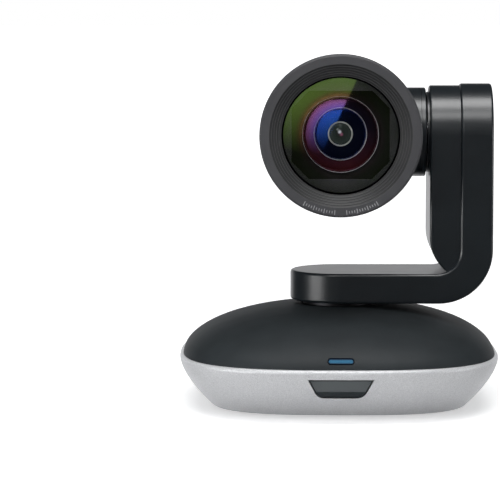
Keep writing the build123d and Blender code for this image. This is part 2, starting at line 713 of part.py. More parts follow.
def bottom_outline(gap):
    """Opening in the underside of the beam, drawn into the current sketch."""
    radius = BOTTOM_OPENING_R - gap
    Circle(radius)
    with Locations((0, -radius)):
        Rectangle(BOTTOM_OPENING_END - gap, 2 * radius, align=Align.MIN)


def post_opening(radius, bottom_z):
    """Upright slot with a round top about the tilt axis, drawn into a sketch on TILT_PLANE."""
    Circle(radius)
    with Locations((-radius, bottom_z - TILT_Z)):
        Rectangle(2 * radius, TILT_Z - bottom_z, align=Align.MIN)


with BuildPart() as arm_outer_shell:
    add(arm_solid(0))
    fillet(arm_outer_shell.edges(), ARM_EDGE_R)
    add(arm_solid(ARM_WALL), mode=Mode.SUBTRACT)
    with BuildSketch(Plane.XY.offset(BEAM_BOTTOM_Z - 1)):
        bottom_outline(0)
    extrude(amount=4, mode=Mode.SUBTRACT)
    with BuildSketch(TILT_PLANE.offset(POST_INNER_X - 1)):
        post_opening(POST_OPENING_HALF, POST_OPENING_Z)
    extrude(amount=4, mode=Mode.SUBTRACT)
keep(arm_outer_shell.part, "arm_outer_shell")

with BuildPart() as arm_bottom_cover:
    with BuildSketch(Plane.XY.offset(BEAM_BOTTOM_Z)):
        bottom_outline(0.15)
        Circle(HUB_FLANGE_R + 0.2, mode=Mode.SUBTRACT)
    extrude(amount=BOTTOM_COVER_TOP - BEAM_BOTTOM_Z)
keep(arm_bottom_cover.part, "arm_bottom_cover")

# Inner cover of the arm: a shallow cup that swells out of the post towards the head
BEND_CENTRE = (POST_INNER_X - ARM_INNER_BEND, BEAM_TOP_Z + ARM_INNER_BEND)
TOE_RADIUS = (
    (INSERT_TOE_X - INSERT_X) ** 2 + (INSERT_TOE_Z - 56.6) ** 2
) / (2 * (INSERT_TOE_X - INSERT_X))
TOE_CENTRE = (INSERT_X + TOE_RADIUS, INSERT_TOE_Z)
INSERT_WALL = 1.8
INSERT_HOLE_R = 15.0
INSERT_RING_R = 16.5
INSERT_RING_X = 35.9


def on_circle(centre, radius, z, side):
    """The point at height z on a circle in XZ, on its left (-1) or right (+1) side."""
    return (centre[0] + side * sqrt(radius**2 - (z - centre[1]) ** 2), z)


def insert_cup(wall, low_z):
    """The inner cover's body, or with a wall the hollow inside it. low_z is its lowest point."""
    half = INSERT_HALF_DEPTH - wall
    toe_r, bend_r = TOE_RADIUS - wall, ARM_INNER_BEND - wall
    mid_z = (INSERT_TOE_Z + low_z) / 2
    bend_mid_z = (BEND_CENTRE[1] + low_z) / 2
    toe_end = on_circle(TOE_CENTRE, toe_r, low_z, -1)
    bend_start = on_circle(BEND_CENTRE, bend_r, low_z, 1)
    bend_end = (BEND_CENTRE[0] + bend_r, BEND_CENTRE[1])
    with BuildPart() as cup:
        with BuildSketch(SIDE):
            with BuildLine():
                toe_start = (INSERT_X + wall, INSERT_TOE_Z)
                back = [(POST_INNER_X, BEND_CENTRE[1] + 1), (POST_INNER_X, 150)]
                Polyline(bend_end, *back, (INSERT_X + wall, 150), toe_start)
                ThreePointArc(toe_start, on_circle(TOE_CENTRE, toe_r, mid_z, -1), toe_end)
                if bend_start[0] - toe_end[0] > 0.01:
                    Line(toe_end, bend_start)
                    ThreePointArc(bend_start, on_circle(BEND_CENTRE, bend_r, bend_mid_z, 1), bend_end)
                else:
                    ThreePointArc(toe_end, on_circle(BEND_CENTRE, bend_r, bend_mid_z, 1), bend_end)
            make_face()
        extrude(amount=ARM_HALF_DEPTH + 5, both=True)
        with BuildSketch(TILT_PLANE.offset(20)):
            Circle(half)
            with Locations((0, -50)):
                Rectangle(2 * half, 100)
        extrude(amount=50, mode=Mode.INTERSECT)
    return cup.part


with BuildPart() as arm_inner_cover:
    add(insert_cup(0.0, 56.65))
    fillet(arm_inner_cover.faces().sort_by(Axis.X)[0].edges(), 0.9)
    add(insert_cup(INSERT_WALL, 59.5), mode=Mode.SUBTRACT)
    with BuildSketch(TILT_PLANE.offset(INSERT_RING_X)):
        Circle(INSERT_RING_R)
    extrude(amount=INSERT_X + INSERT_WALL - INSERT_RING_X)
    with BuildSketch(TILT_PLANE.offset(INSERT_RING_X - 1)):
        Circle(INSERT_HOLE_R)
    extrude(amount=5, mode=Mode.SUBTRACT)
keep(arm_inner_cover.part, "arm_inner_cover")

# Sheet-metal frame inside the arm, from the pan hub up to the tilt bearing
FRAME_BEND_R = 15.0
FRAME_BEND_CENTRE = (41.6, ARM_FRAME_Z + FRAME_BEND_R)
FRAME_HALF_WIDTH = 12.0
LEG_FACE_X = FRAME_BEND_CENTRE[0] + FRAME_BEND_R  # outer face of the upright leg
LEG_INNER_X = LEG_FACE_X - ARM_FRAME_THICK
TILT_BEARING_X = 49.6
MOTOR_SCREW_Y = 10.6
MOTOR_SCREWS = [(MOTOR_SCREW_Y, -TILT_CENTRES), (-MOTOR_SCREW_Y, -TILT_CENTRES)]

with BuildPart() as arm_frame:
    with BuildSketch(SIDE):
        for radius, mode in ((FRAME_BEND_R, Mode.ADD), (FRAME_BEND_R - ARM_FRAME_THICK, Mode.SUBTRACT)):
            with BuildLine():
                low = (FRAME_BEND_CENTRE[0], FRAME_BEND_CENTRE[1] - radius)
                right = (FRAME_BEND_CENTRE[0] + radius, FRAME_BEND_CENTRE[1])
                Polyline(right, (right[0], 130), (-20, 130), (-20, low[1]), low)
                RadiusArc(low, right, -radius)
            make_face(mode=mode)
    extrude(amount=20, both=True)
    with BuildSketch(Plane.XY.offset(40)):
        Circle(15.0)
        with Locations((0, -FRAME_HALF_WIDTH)):
            Rectangle(70, 2 * FRAME_HALF_WIDTH, align=Align.MIN)
        Circle(HUB_BORE_R, mode=Mode.SUBTRACT)
        with Locations(*HUB_SCREW_SPOTS):
            Circle(1.2, mode=Mode.SUBTRACT)
    extrude(amount=110, mode=Mode.INTERSECT)
    with BuildSketch(TILT_PLANE.offset(-20)):
        Circle(FRAME_HALF_WIDTH)
        with Locations((0, -50)):
            Rectangle(2 * FRAME_HALF_WIDTH, 100)
    extrude(amount=80, mode=Mode.INTERSECT)
    with BuildSketch(TILT_SECTION):
        ring_profile(8.82, 10.0, TILT_BEARING_X, LEG_INNER_X + 0.5)
    revolve(axis=TILT_AXIS)
    with BuildSketch(TILT_PLANE.offset(LEG_INNER_X - 1)):
        Circle(7.3)
        with Locations((0, -TILT_CENTRES)):
            Circle(3.0)
        with Locations(*MOTOR_SCREWS):
            Circle(1.1)
    extrude(amount=5, mode=Mode.SUBTRACT)
    with BuildSketch(TILT_PLANE.offset(LEG_INNER_X)):
        with Locations((0, 72 - TILT_Z)):
            SlotOverall(14, 8, rotation=90)
    extrude(amount=5, mode=Mode.SUBTRACT)
keep(arm_frame.part, "arm_frame")

with BuildPart() as arm_screws:
    add(screws(Plane.XY.offset(ARM_FRAME_Z + ARM_FRAME_THICK), HUB_SCREW_SPOTS, 1.9, 1.5, 1.0, 6.0))
    add(screws(TILT_PLANE.offset(LEG_FACE_X), MOTOR_SCREWS, 1.6, 1.2, 0.9, 3.4))
keep(arm_screws.part, "arm_screws")

TILT_MOTOR_R, TILT_MOTOR_LENGTH, MOTOR_EAR = 9.0, 12.4, 1.2

with BuildPart() as tilt_motor:
    with BuildSketch(TILT_PLANE.offset(LEG_INNER_X)):
        with Locations((0, -TILT_CENTRES)):
            SlotOverall(2 * MOTOR_SCREW_Y + 3.6, 5.6)
            Circle(TILT_MOTOR_R)
        with Locations(*MOTOR_SCREWS):
            Circle(0.95, mode=Mode.SUBTRACT)
    extrude(amount=-MOTOR_EAR)
    with BuildSketch(TILT_PLANE.offset(LEG_INNER_X - MOTOR_EAR)):
        with Locations((0, -TILT_CENTRES)):
            Circle(TILT_MOTOR_R)
    extrude(amount=-TILT_MOTOR_LENGTH)
    with BuildSketch(TILT_PLANE.offset(LEG_INNER_X)):
        with Locations((0, -TILT_CENTRES)):
            Circle(2.9)
    extrude(amount=1.8)
    with BuildSketch(TILT_PLANE.offset(LEG_FACE_X + 1)):
        with Locations((0, -TILT_CENTRES)):
            Circle(1.0 + RUNNING_FIT)
    extrude(amount=-8, mode=Mode.SUBTRACT)
keep(tilt_motor.part, "tilt_motor")

TILT_BALL_R, TILT_BALL_CIRCLE = 0.8, 7.3
tilt_bearing_outer, tilt_bearing_inner = bearing_rings(
    TILT_SECTION, TILT_AXIS, (6.02, 6.8, 7.8, 8.8), TILT_BEARING_X, LEG_INNER_X, TILT_BALL_R
)
keep(tilt_bearing_outer, "tilt_bearing_outer")

with BuildPart() as tilt_bearing_balls:
    for i in range(16):
        angle = 2 * pi * i / 16
        y, z = TILT_BALL_CIRCLE * cos(angle), TILT_Z + TILT_BALL_CIRCLE * sin(angle)
        with Locations(((TILT_BEARING_X + LEG_INNER_X) / 2, y, z)):
            Sphere(TILT_BALL_R)
keep(tilt_bearing_balls.part, "tilt_bearing_balls")

ARM_HARNESS = [
    (0, 0, 23.8),
    (0, 0, 51),
    (52.9, 15, 51),
    (52.9, 15, 98),
    (52.9, 12.5, TILT_Z),
    (26, 12.5, TILT_Z),
]
keep(cable(ARM_HARNESS, 5.5, 1.25), "arm_harness")

# ================================================================ tilt pinion

with BuildPart() as tilt_pinion:
    with BuildSketch(TILT_PLANE.offset(57.1)):
        with Locations((0, -TILT_CENTRES)):
            Polygon(*gear_points(TILT_MODULE, PINION_TEETH, 90 + 180 / PINION_TEETH), align=None)
    extrude(amount=3.0)
    with BuildSketch(TILT_PLANE.offset(50.2)):
        with Locations((0, -TILT_CENTRES)):
            Circle(1.0)
    extrude(amount=9.9)
keep(tilt_pinion.part, "tilt_pinion")

# ================================================================ head

CONE_RIBS = 5
RIB_STEP = 0.3  # each rib of the cone ends in a small step
BEZEL_CONE_R = 28.6  # where the flat front band ends and the ribbed cone starts
BEZEL_LIP_R = 23.7
GLASS_FRONT_Y, GLASS_BACK_Y = -41.2, -39.7
SPIGOT_R = HEAD_R - HEAD_WALL - 0.2

with BuildPart() as lens_bezel:
    lip_y = GLASS_FRONT_Y - 0.4
    rib_depth = (BEZEL_FRONT_Y - lip_y) / CONE_RIBS
    rib_width = (BEZEL_CONE_R - BEZEL_LIP_R) / CONE_RIBS
    cone = []
    for rib in range(CONE_RIBS):
        y, radius = lip_y + rib_depth * rib, BEZEL_LIP_R + rib_width * rib
        cone += [(y, radius + RIB_STEP), (y + rib_depth, radius + rib_width)]
    with BuildSketch(LENS_PLANE):
        with BuildLine():
            Polyline(
                (-40, BEZEL_R),
                (BEZEL_FRONT_Y + 0.8, BEZEL_R),
                (BEZEL_FRONT_Y, BEZEL_R - 0.8),
                *reversed(cone),
                (lip_y, BEZEL_LIP_R),
                (GLASS_FRONT_Y, BEZEL_LIP_R),
                (GLASS_FRONT_Y, GLASS_R),
                (-37, GLASS_R),
                (-37, 25.6),
                (-29, 25.6),
                (-29, SPIGOT_R),
                (HEAD_FRONT_Y, SPIGOT_R),
                (HEAD_FRONT_Y, HEAD_R),
            )
            Spline((HEAD_FRONT_Y, HEAD_R), (-36.2, 30.7), (-40, BEZEL_R), tangents=[(-1, 0), (-1, 0)])
        make_face()
    revolve(axis=LENS_AXIS)
keep(lens_bezel.part, "lens_bezel")

BOSS_SEAM_X = BOSS_END_X - 2.1
BOSS_WALL = 1.8

with BuildPart() as head_barrel:
    with BuildSketch(lens_plane(HEAD_FRONT_Y)):
        Circle(HEAD_R)
    extrude(amount=HEAD_FRONT_Y - HEAD_SEAM_Y)
    with BuildSketch(TILT_PLANE):
        Circle(BOSS_R)
    extrude(amount=BOSS_SEAM_X)
    with BuildSketch(lens_plane(HEAD_FRONT_Y - 1)):
        Circle(HEAD_R - HEAD_WALL)
    extrude(amount=HEAD_FRONT_Y - HEAD_SEAM_Y - 2, mode=Mode.SUBTRACT)
    with BuildSketch(TILT_PLANE):
        Circle(BOSS_R - BOSS_WALL)
    extrude(amount=BOSS_SEAM_X + 1, mode=Mode.SUBTRACT)
keep(head_barrel.part, "head_barrel")


CAP_INNER_R = 26.0
CAP_SPIGOT = 2.4


def cap_curve(radius, depth, power=2.2, count=9):
    """Half profile of the rounded back, from its rim to its pole."""
    points = []
    for i in range(count + 1):
        turn = pi / 2 * i / count
        y = HEAD_SEAM_Y + depth * sin(turn) ** (2 / power)
        points.append((y, radius * max(0.0, cos(turn)) ** (2 / power)))
    return points[:-1] + [(HEAD_SEAM_Y + depth, 0.0)]


with BuildPart() as head_rear_cap:
    depth = HEAD_BACK_Y - HEAD_SEAM_Y
    with BuildSketch(LENS_PLANE):
        with BuildLine():
            outside = Spline(cap_curve(HEAD_R, depth), tangents=[(1, 0), (0, -1)])
            inside = Spline(cap_curve(CAP_INNER_R, depth - HEAD_WALL), tangents=[(1, 0), (0, -1)])
            Line(outside @ 1, inside @ 1)
            Polyline(
                inside @ 0,
                (HEAD_SEAM_Y - CAP_SPIGOT, CAP_INNER_R),
                (HEAD_SEAM_Y - CAP_SPIGOT, SPIGOT_R),
                (HEAD_SEAM_Y, SPIGOT_R),
                (HEAD_SEAM_Y, HEAD_R),
            )
        make_face()
    revolve(axis=LENS_AXIS)
keep(head_rear_cap.part, "head_rear_cap")

with BuildPart() as tilt_collar:
    add(turned_ring(TILT_SECTION, TILT_AXIS, BOSS_R - BOSS_WALL, BOSS_R, BOSS_SEAM_X + 0.15, BOSS_END_X))
    fillet(tilt_collar.edges().sort_by(Axis.X)[-1], 0.6)
keep(tilt_collar.part, "tilt_collar")

SHAFT_R, SHAFT_BORE_R = 6.0, 4.0
HEAD_PLATE_X, HEAD_PLATE_FACE_X = 20.3, 22.3
SHAFT_FLANGE_FACE_X = 24.1
TILT_GEAR_X, TILT_GEAR_END_X = 57.2, 60.0
FLANGE_SPOTS = [(8 * cos(angle * pi / 180), 8 * sin(angle * pi / 180)) for angle in (90, 210, 330)]

with BuildPart() as tilt_shaft:
    with BuildSketch(TILT_SECTION):
        ring_profile(SHAFT_BORE_R, 10.0, HEAD_PLATE_FACE_X, SHAFT_FLANGE_FACE_X)
        ring_profile(SHAFT_BORE_R, SHAFT_R, HEAD_PLATE_FACE_X, 60.1)
    revolve(axis=TILT_AXIS)
    with BuildSketch(TILT_PLANE.offset(20)):
        with Locations(*FLANGE_SPOTS):
            Circle(1.05)
    extrude(amount=6, mode=Mode.SUBTRACT)
keep(tilt_shaft.part, "tilt_shaft")

with BuildPart() as tilt_gear:
    with BuildSketch(TILT_PLANE.offset(TILT_GEAR_X)):
        Polygon(*gear_points(TILT_MODULE, TILT_GEAR_TEETH, -90), align=None)
        Circle(SHAFT_R + 0.02, mode=Mode.SUBTRACT)
        with PolarLocations(10.3, 6):
            Circle(2.3, mode=Mode.SUBTRACT)
    extrude(amount=TILT_GEAR_END_X - TILT_GEAR_X)
keep(tilt_gear.part, "tilt_gear")
keep(tilt_bearing_inner, "tilt_bearing_inner")

BLOCK_HALF_X, BLOCK_HALF_Z = 19.0, 17.5
BLOCK_WALL = 1.6
BLOCK_FRONT_Y, BLOCK_BACK_Y = -33.0, 15.0

with BuildPart() as head_frame:
    with BuildSketch(TILT_PLANE.offset(HEAD_PLATE_X)):
        RectangleRounded(22, 24, 3)
        Circle(SHAFT_BORE_R, mode=Mode.SUBTRACT)
        with Locations(*FLANGE_SPOTS):
            Circle(1.05, mode=Mode.SUBTRACT)
    extrude(amount=HEAD_PLATE_FACE_X - HEAD_PLATE_X)
    with BuildSketch(TILT_PLANE.offset(BLOCK_HALF_X)):
        with Locations((-7.5, -8.5), (7.5, -8.5), (-7.5, 8.5), (7.5, 8.5)):
            Circle(2.4)
    extrude(amount=HEAD_PLATE_X - BLOCK_HALF_X + 0.2)
keep(head_frame.part, "head_frame")

with BuildPart() as head_screws:
    add(screws(TILT_PLANE.offset(SHAFT_FLANGE_FACE_X), FLANGE_SPOTS, 1.6, 1.1, 1.0, 3.5))
keep(head_screws.part, "head_screws")

keep(turned_ring(LENS_PLANE, LENS_AXIS, 0, GLASS_R - 0.05, GLASS_FRONT_Y, GLASS_BACK_Y), "cover_glass")

# Rectangular light baffle behind the glass, with cut corners
BAFFLE_HALF_X, BAFFLE_HALF_Z, BAFFLE_CUT = 19.6, 17.7, 7.0
BAFFLE_Y, BAFFLE_BACK_Y = -38.5, -37.5

with BuildPart() as front_baffle:
    with BuildSketch(lens_plane(BAFFLE_Y)):
        Circle(GLASS_R - 0.05)
        corners = []
        for across, up in ((1, 1), (-1, 1), (-1, -1), (1, -1)):
            level = (across * BAFFLE_HALF_X, up * (BAFFLE_HALF_Z - BAFFLE_CUT))
            upright = (across * (BAFFLE_HALF_X - BAFFLE_CUT), up * BAFFLE_HALF_Z)
            corners += [level, upright] if across == up else [upright, level]
        Polygon(*corners, align=None, mode=Mode.SUBTRACT)
    extrude(amount=BAFFLE_Y - BAFFLE_BACK_Y)
keep(front_baffle.part, "front_baffle")

with BuildPart() as lens_block:
    with BuildSketch(lens_plane(BLOCK_FRONT_Y)):
        body = Rectangle(2 * BLOCK_HALF_X, 2 * BLOCK_HALF_Z)
        chamfer(body.vertices(), 3.0)
    extrude(amount=BLOCK_FRONT_Y - BLOCK_BACK_Y)
    with BuildSketch(lens_plane(BLOCK_FRONT_Y + BLOCK_WALL)):
        hollow = Rectangle(2 * (BLOCK_HALF_X - BLOCK_WALL), 2 * (BLOCK_HALF_Z - BLOCK_WALL))
        chamfer(hollow.vertices(), 1.5)
    extrude(amount=BLOCK_FRONT_Y - BLOCK_BACK_Y + 2 * BLOCK_WALL, mode=Mode.SUBTRACT)
    with BuildSketch(lens_plane(BLOCK_FRONT_Y - 1)):
        Circle(15.9)
    extrude(amount=-4, mode=Mode.SUBTRACT)
    with BuildSketch(lens_plane(BLOCK_BACK_Y - 3)):
        Rectangle(9, 7)
    extrude(amount=-5, mode=Mode.SUBTRACT)
keep(lens_block.part, "lens_block")

# Front lens cell, stepped inside, with the light shield in front of it
CELL_R = 15.8
CELL_FRONT_Y, CELL_STEP_Y, CELL_THROAT_Y, CELL_BACK_Y = -34.0, -30.0, -26.0, -20.0
FRONT_LENS_R, SECOND_LENS_R, THROAT_R = 15.2, 10.5, 4.8

with BuildPart() as lens_cell:
    with BuildSketch(LENS_PLANE):
        with BuildLine():
            Polyline(
                (-37.2, 22.5),
                (-37.2, 23.3),
                (-33.6, 17.0),
                (-33.6, CELL_R),
                (CELL_BACK_Y, CELL_R),
                (CELL_BACK_Y, THROAT_R),
                (CELL_THROAT_Y, THROAT_R),
                (CELL_THROAT_Y, SECOND_LENS_R + 0.1),
                (CELL_STEP_Y, SECOND_LENS_R + 0.1),
                (CELL_STEP_Y, FRONT_LENS_R + 0.1),
                (CELL_FRONT_Y, FRONT_LENS_R + 0.1),
                (CELL_FRONT_Y, 16.4),
                close=True,
            )
        make_face()
    revolve(axis=LENS_AXIS)
keep(lens_cell.part, "lens_cell")


def lens_face(y, radius, bulge):
    """Half of a lens surface in profile, from the axis out to the rim."""
    return ThreePointArc((y - bulge, 0), (y - bulge * 0.75, radius / 2), (y, radius))


with BuildPart() as lens_elements:
    for front_y, back_y, radius, bulge in (
        (-32.4, CELL_STEP_Y - 0.1, FRONT_LENS_R, 1.4),
        (-28.6, CELL_THROAT_Y - 0.1, SECOND_LENS_R, 1.0),
    ):
        with BuildSketch(LENS_PLANE):
            with BuildLine():
                lens_face(front_y, radius, bulge)
                Polyline((front_y, radius), (back_y, radius), (back_y, 0), (front_y - bulge, 0))
            make_face()
        revolve(axis=LENS_AXIS)
keep(lens_elements.part, "lens_elements")

with BuildPart() as aperture_stop:
    with BuildSketch(LENS_PLANE):
        ring_profile(3.0, 14.0, -19.2, -18.8)
        ring_profile(9.0, 14.0, -19.8, -18.2)
    revolve(axis=LENS_AXIS)
keep(aperture_stop.part, "aperture_stop")

# Two guide rods carry the zoom and focus groups; each is (x, height above the optical axis)
ROD_SPOTS = [(-13.6, 12.2), (13.6, -12.2)]
ROD_R = 1.0
SCREW_SPOT = (-12.6, -11.0)
LEAD_R = 1.2
ZOOM_FRONT_Y, ZOOM_LENGTH = -17.4, 6.0
FOCUS_FRONT_Y, FOCUS_LENGTH = 0.4, 4.5

with BuildPart() as guide_rods:
    with BuildSketch(lens_plane(BLOCK_FRONT_Y + BLOCK_WALL)):
        with Locations(*ROD_SPOTS):
            Circle(ROD_R)
    extrude(amount=BLOCK_FRONT_Y - BLOCK_BACK_Y + 2 * BLOCK_WALL)
keep(guide_rods.part, "guide_rods")

with BuildPart() as lens_motors:
    with BuildSketch(lens_plane(7.4)):
        with Locations(SCREW_SPOT):
            Circle(3.9)
    extrude(amount=-6.0)
    with BuildSketch(lens_plane(7.4)):
        with Locations(SCREW_SPOT):
            Circle(LEAD_R + RUNNING_FIT)
    extrude(amount=-3.0, mode=Mode.SUBTRACT)
    with Locations((13.4, -2.0, LENS_Z + 11.4)):
        Box(6.6, 14, 6.6, align=(Align.CENTER, Align.MIN, Align.CENTER))
keep(lens_motors.part, "lens_motors")

SENSOR_Y, SENSOR_BOARD_Y = 15.4, 17.0

with BuildPart() as image_sensor:
    with BuildSketch(lens_plane(SENSOR_Y)):
        Rectangle(12, 10)
    extrude(amount=SENSOR_Y - SENSOR_BOARD_Y)
keep(image_sensor.part, "image_sensor")

with BuildPart() as sensor_board:
    with BuildSketch(lens_plane(SENSOR_BOARD_Y)):
        corners = Rectangle(34, 32)
        chamfer(corners.vertices(), 3.5)
    extrude(amount=-1.6)
    with Locations((5.5, SENSOR_BOARD_Y + 1.5, TILT_Z)):
        Box(7, 5.5, 5, align=(Align.CENTER, Align.MIN, Align.CENTER))
    for x, z in ((-8, 6), (-8, -6)):
        with Locations((x, SENSOR_BOARD_Y + 1.5, LENS_Z + z)):
            Box(8, 1.2, 8, align=(Align.CENTER, Align.MIN, Align.CENTER))
keep(sensor_board.part, "sensor_board")

HEAD_HARNESS = [(25.4, 12.5, TILT_Z), (21.6, 12.5, TILT_Z), (21.6, 22.6, TILT_Z), (9.0, 22.6, TILT_Z)]
keep(cable(HEAD_HARNESS, 2.4, 1.25), "head_harness")

# ================================================================ zoom and focus groups


def lens_carriage(front_y, length, glass_r, barrel_r, screw):
    """A lens in its ring, with arms that run on the guide rods and one for the lead screw."""
    spots = ROD_SPOTS + ([SCREW_SPOT] if screw else [])
    with BuildPart() as carriage:
        with BuildSketch(lens_plane(front_y)):
            Circle(barrel_r)
        extrude(amount=-length)
        with BuildSketch(lens_plane(front_y)):
            for spot in spots:
                with BuildLine():
                    Line((0, 0), spot)
                trace(line_width=4.0)
            with Locations(*spots):
                Circle(2.6)
        extrude(amount=-2.4)
        with BuildSketch(lens_plane(front_y)):
            Circle(glass_r + RUNNING_FIT)
            with Locations(*ROD_SPOTS):
                Circle(ROD_R + RUNNING_FIT)
            if screw:
                with Locations(SCREW_SPOT):
                    Circle(LEAD_R + RUNNING_FIT)
        extrude(amount=-length, mode=Mode.SUBTRACT)
        with BuildSketch(LENS_PLANE):
            with BuildLine():
                lens_face(front_y + 1.0, glass_r, 0.8)
                Polyline(
                    (front_y + 1.0, glass_r),
                    (front_y + length, glass_r),
                    (front_y + length, 0),
                    (front_y + 0.2, 0),
                )
            make_face()
        revolve(axis=LENS_AXIS)
    return carriage.part


zoom_carriage = lens_carriage(ZOOM_FRONT_Y, ZOOM_LENGTH, 7.5, 9.5, screw=True)
keep(zoom_carriage, "zoom_carriage")
focus_carriage = lens_carriage(FOCUS_FRONT_Y, FOCUS_LENGTH, 6.5, 8.5, screw=False)
keep(focus_carriage, "focus_carriage")

with BuildPart() as zoom_leadscrew:
    with BuildSketch(lens_plane(-17.8)):
        with Locations(SCREW_SPOT):
            Circle(LEAD_R)
    extrude(amount=-27.8)
keep(zoom_leadscrew.part, "zoom_leadscrew")

os.makedirs("parts", exist_ok=True)
for piece in finished:
    export_step(piece, f"parts/{piece.label}.step")
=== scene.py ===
"""Looks of a desktop pan-tilt-zoom conference camera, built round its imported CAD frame.

Units are metres, +Z is up and the lens looks along -Y. Materials are procedural and read object
coordinates.
"""

import json
from math import cos, pi, radians, sin, tau

import bmesh
import bpy
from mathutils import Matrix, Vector


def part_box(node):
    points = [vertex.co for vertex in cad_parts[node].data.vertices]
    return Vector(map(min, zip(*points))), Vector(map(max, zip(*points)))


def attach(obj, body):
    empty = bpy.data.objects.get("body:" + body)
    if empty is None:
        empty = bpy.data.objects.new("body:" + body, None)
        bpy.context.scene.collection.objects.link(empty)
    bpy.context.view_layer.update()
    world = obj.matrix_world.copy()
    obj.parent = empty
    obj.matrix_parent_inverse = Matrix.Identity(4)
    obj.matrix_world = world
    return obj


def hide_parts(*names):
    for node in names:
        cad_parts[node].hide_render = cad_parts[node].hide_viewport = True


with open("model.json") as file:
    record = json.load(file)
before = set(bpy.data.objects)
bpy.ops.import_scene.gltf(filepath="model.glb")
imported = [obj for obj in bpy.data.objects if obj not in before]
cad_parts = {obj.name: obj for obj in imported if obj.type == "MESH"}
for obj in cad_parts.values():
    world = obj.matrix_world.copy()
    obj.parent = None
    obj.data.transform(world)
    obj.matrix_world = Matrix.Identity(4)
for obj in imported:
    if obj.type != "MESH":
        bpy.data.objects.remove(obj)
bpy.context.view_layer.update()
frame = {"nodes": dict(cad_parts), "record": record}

MM = 0.001
NODES = frame["nodes"]

# The lens, read from the frame
GLASS_LOW, GLASS_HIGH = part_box("cover_glass")
LENS_Z = (GLASS_LOW.z + GLASS_HIGH.z) / 2
GLASS_FACE_Y = GLASS_LOW.y

# ------------------------------------------------------------------ shader helpers

NOISE_ROUGHNESS = 0.55


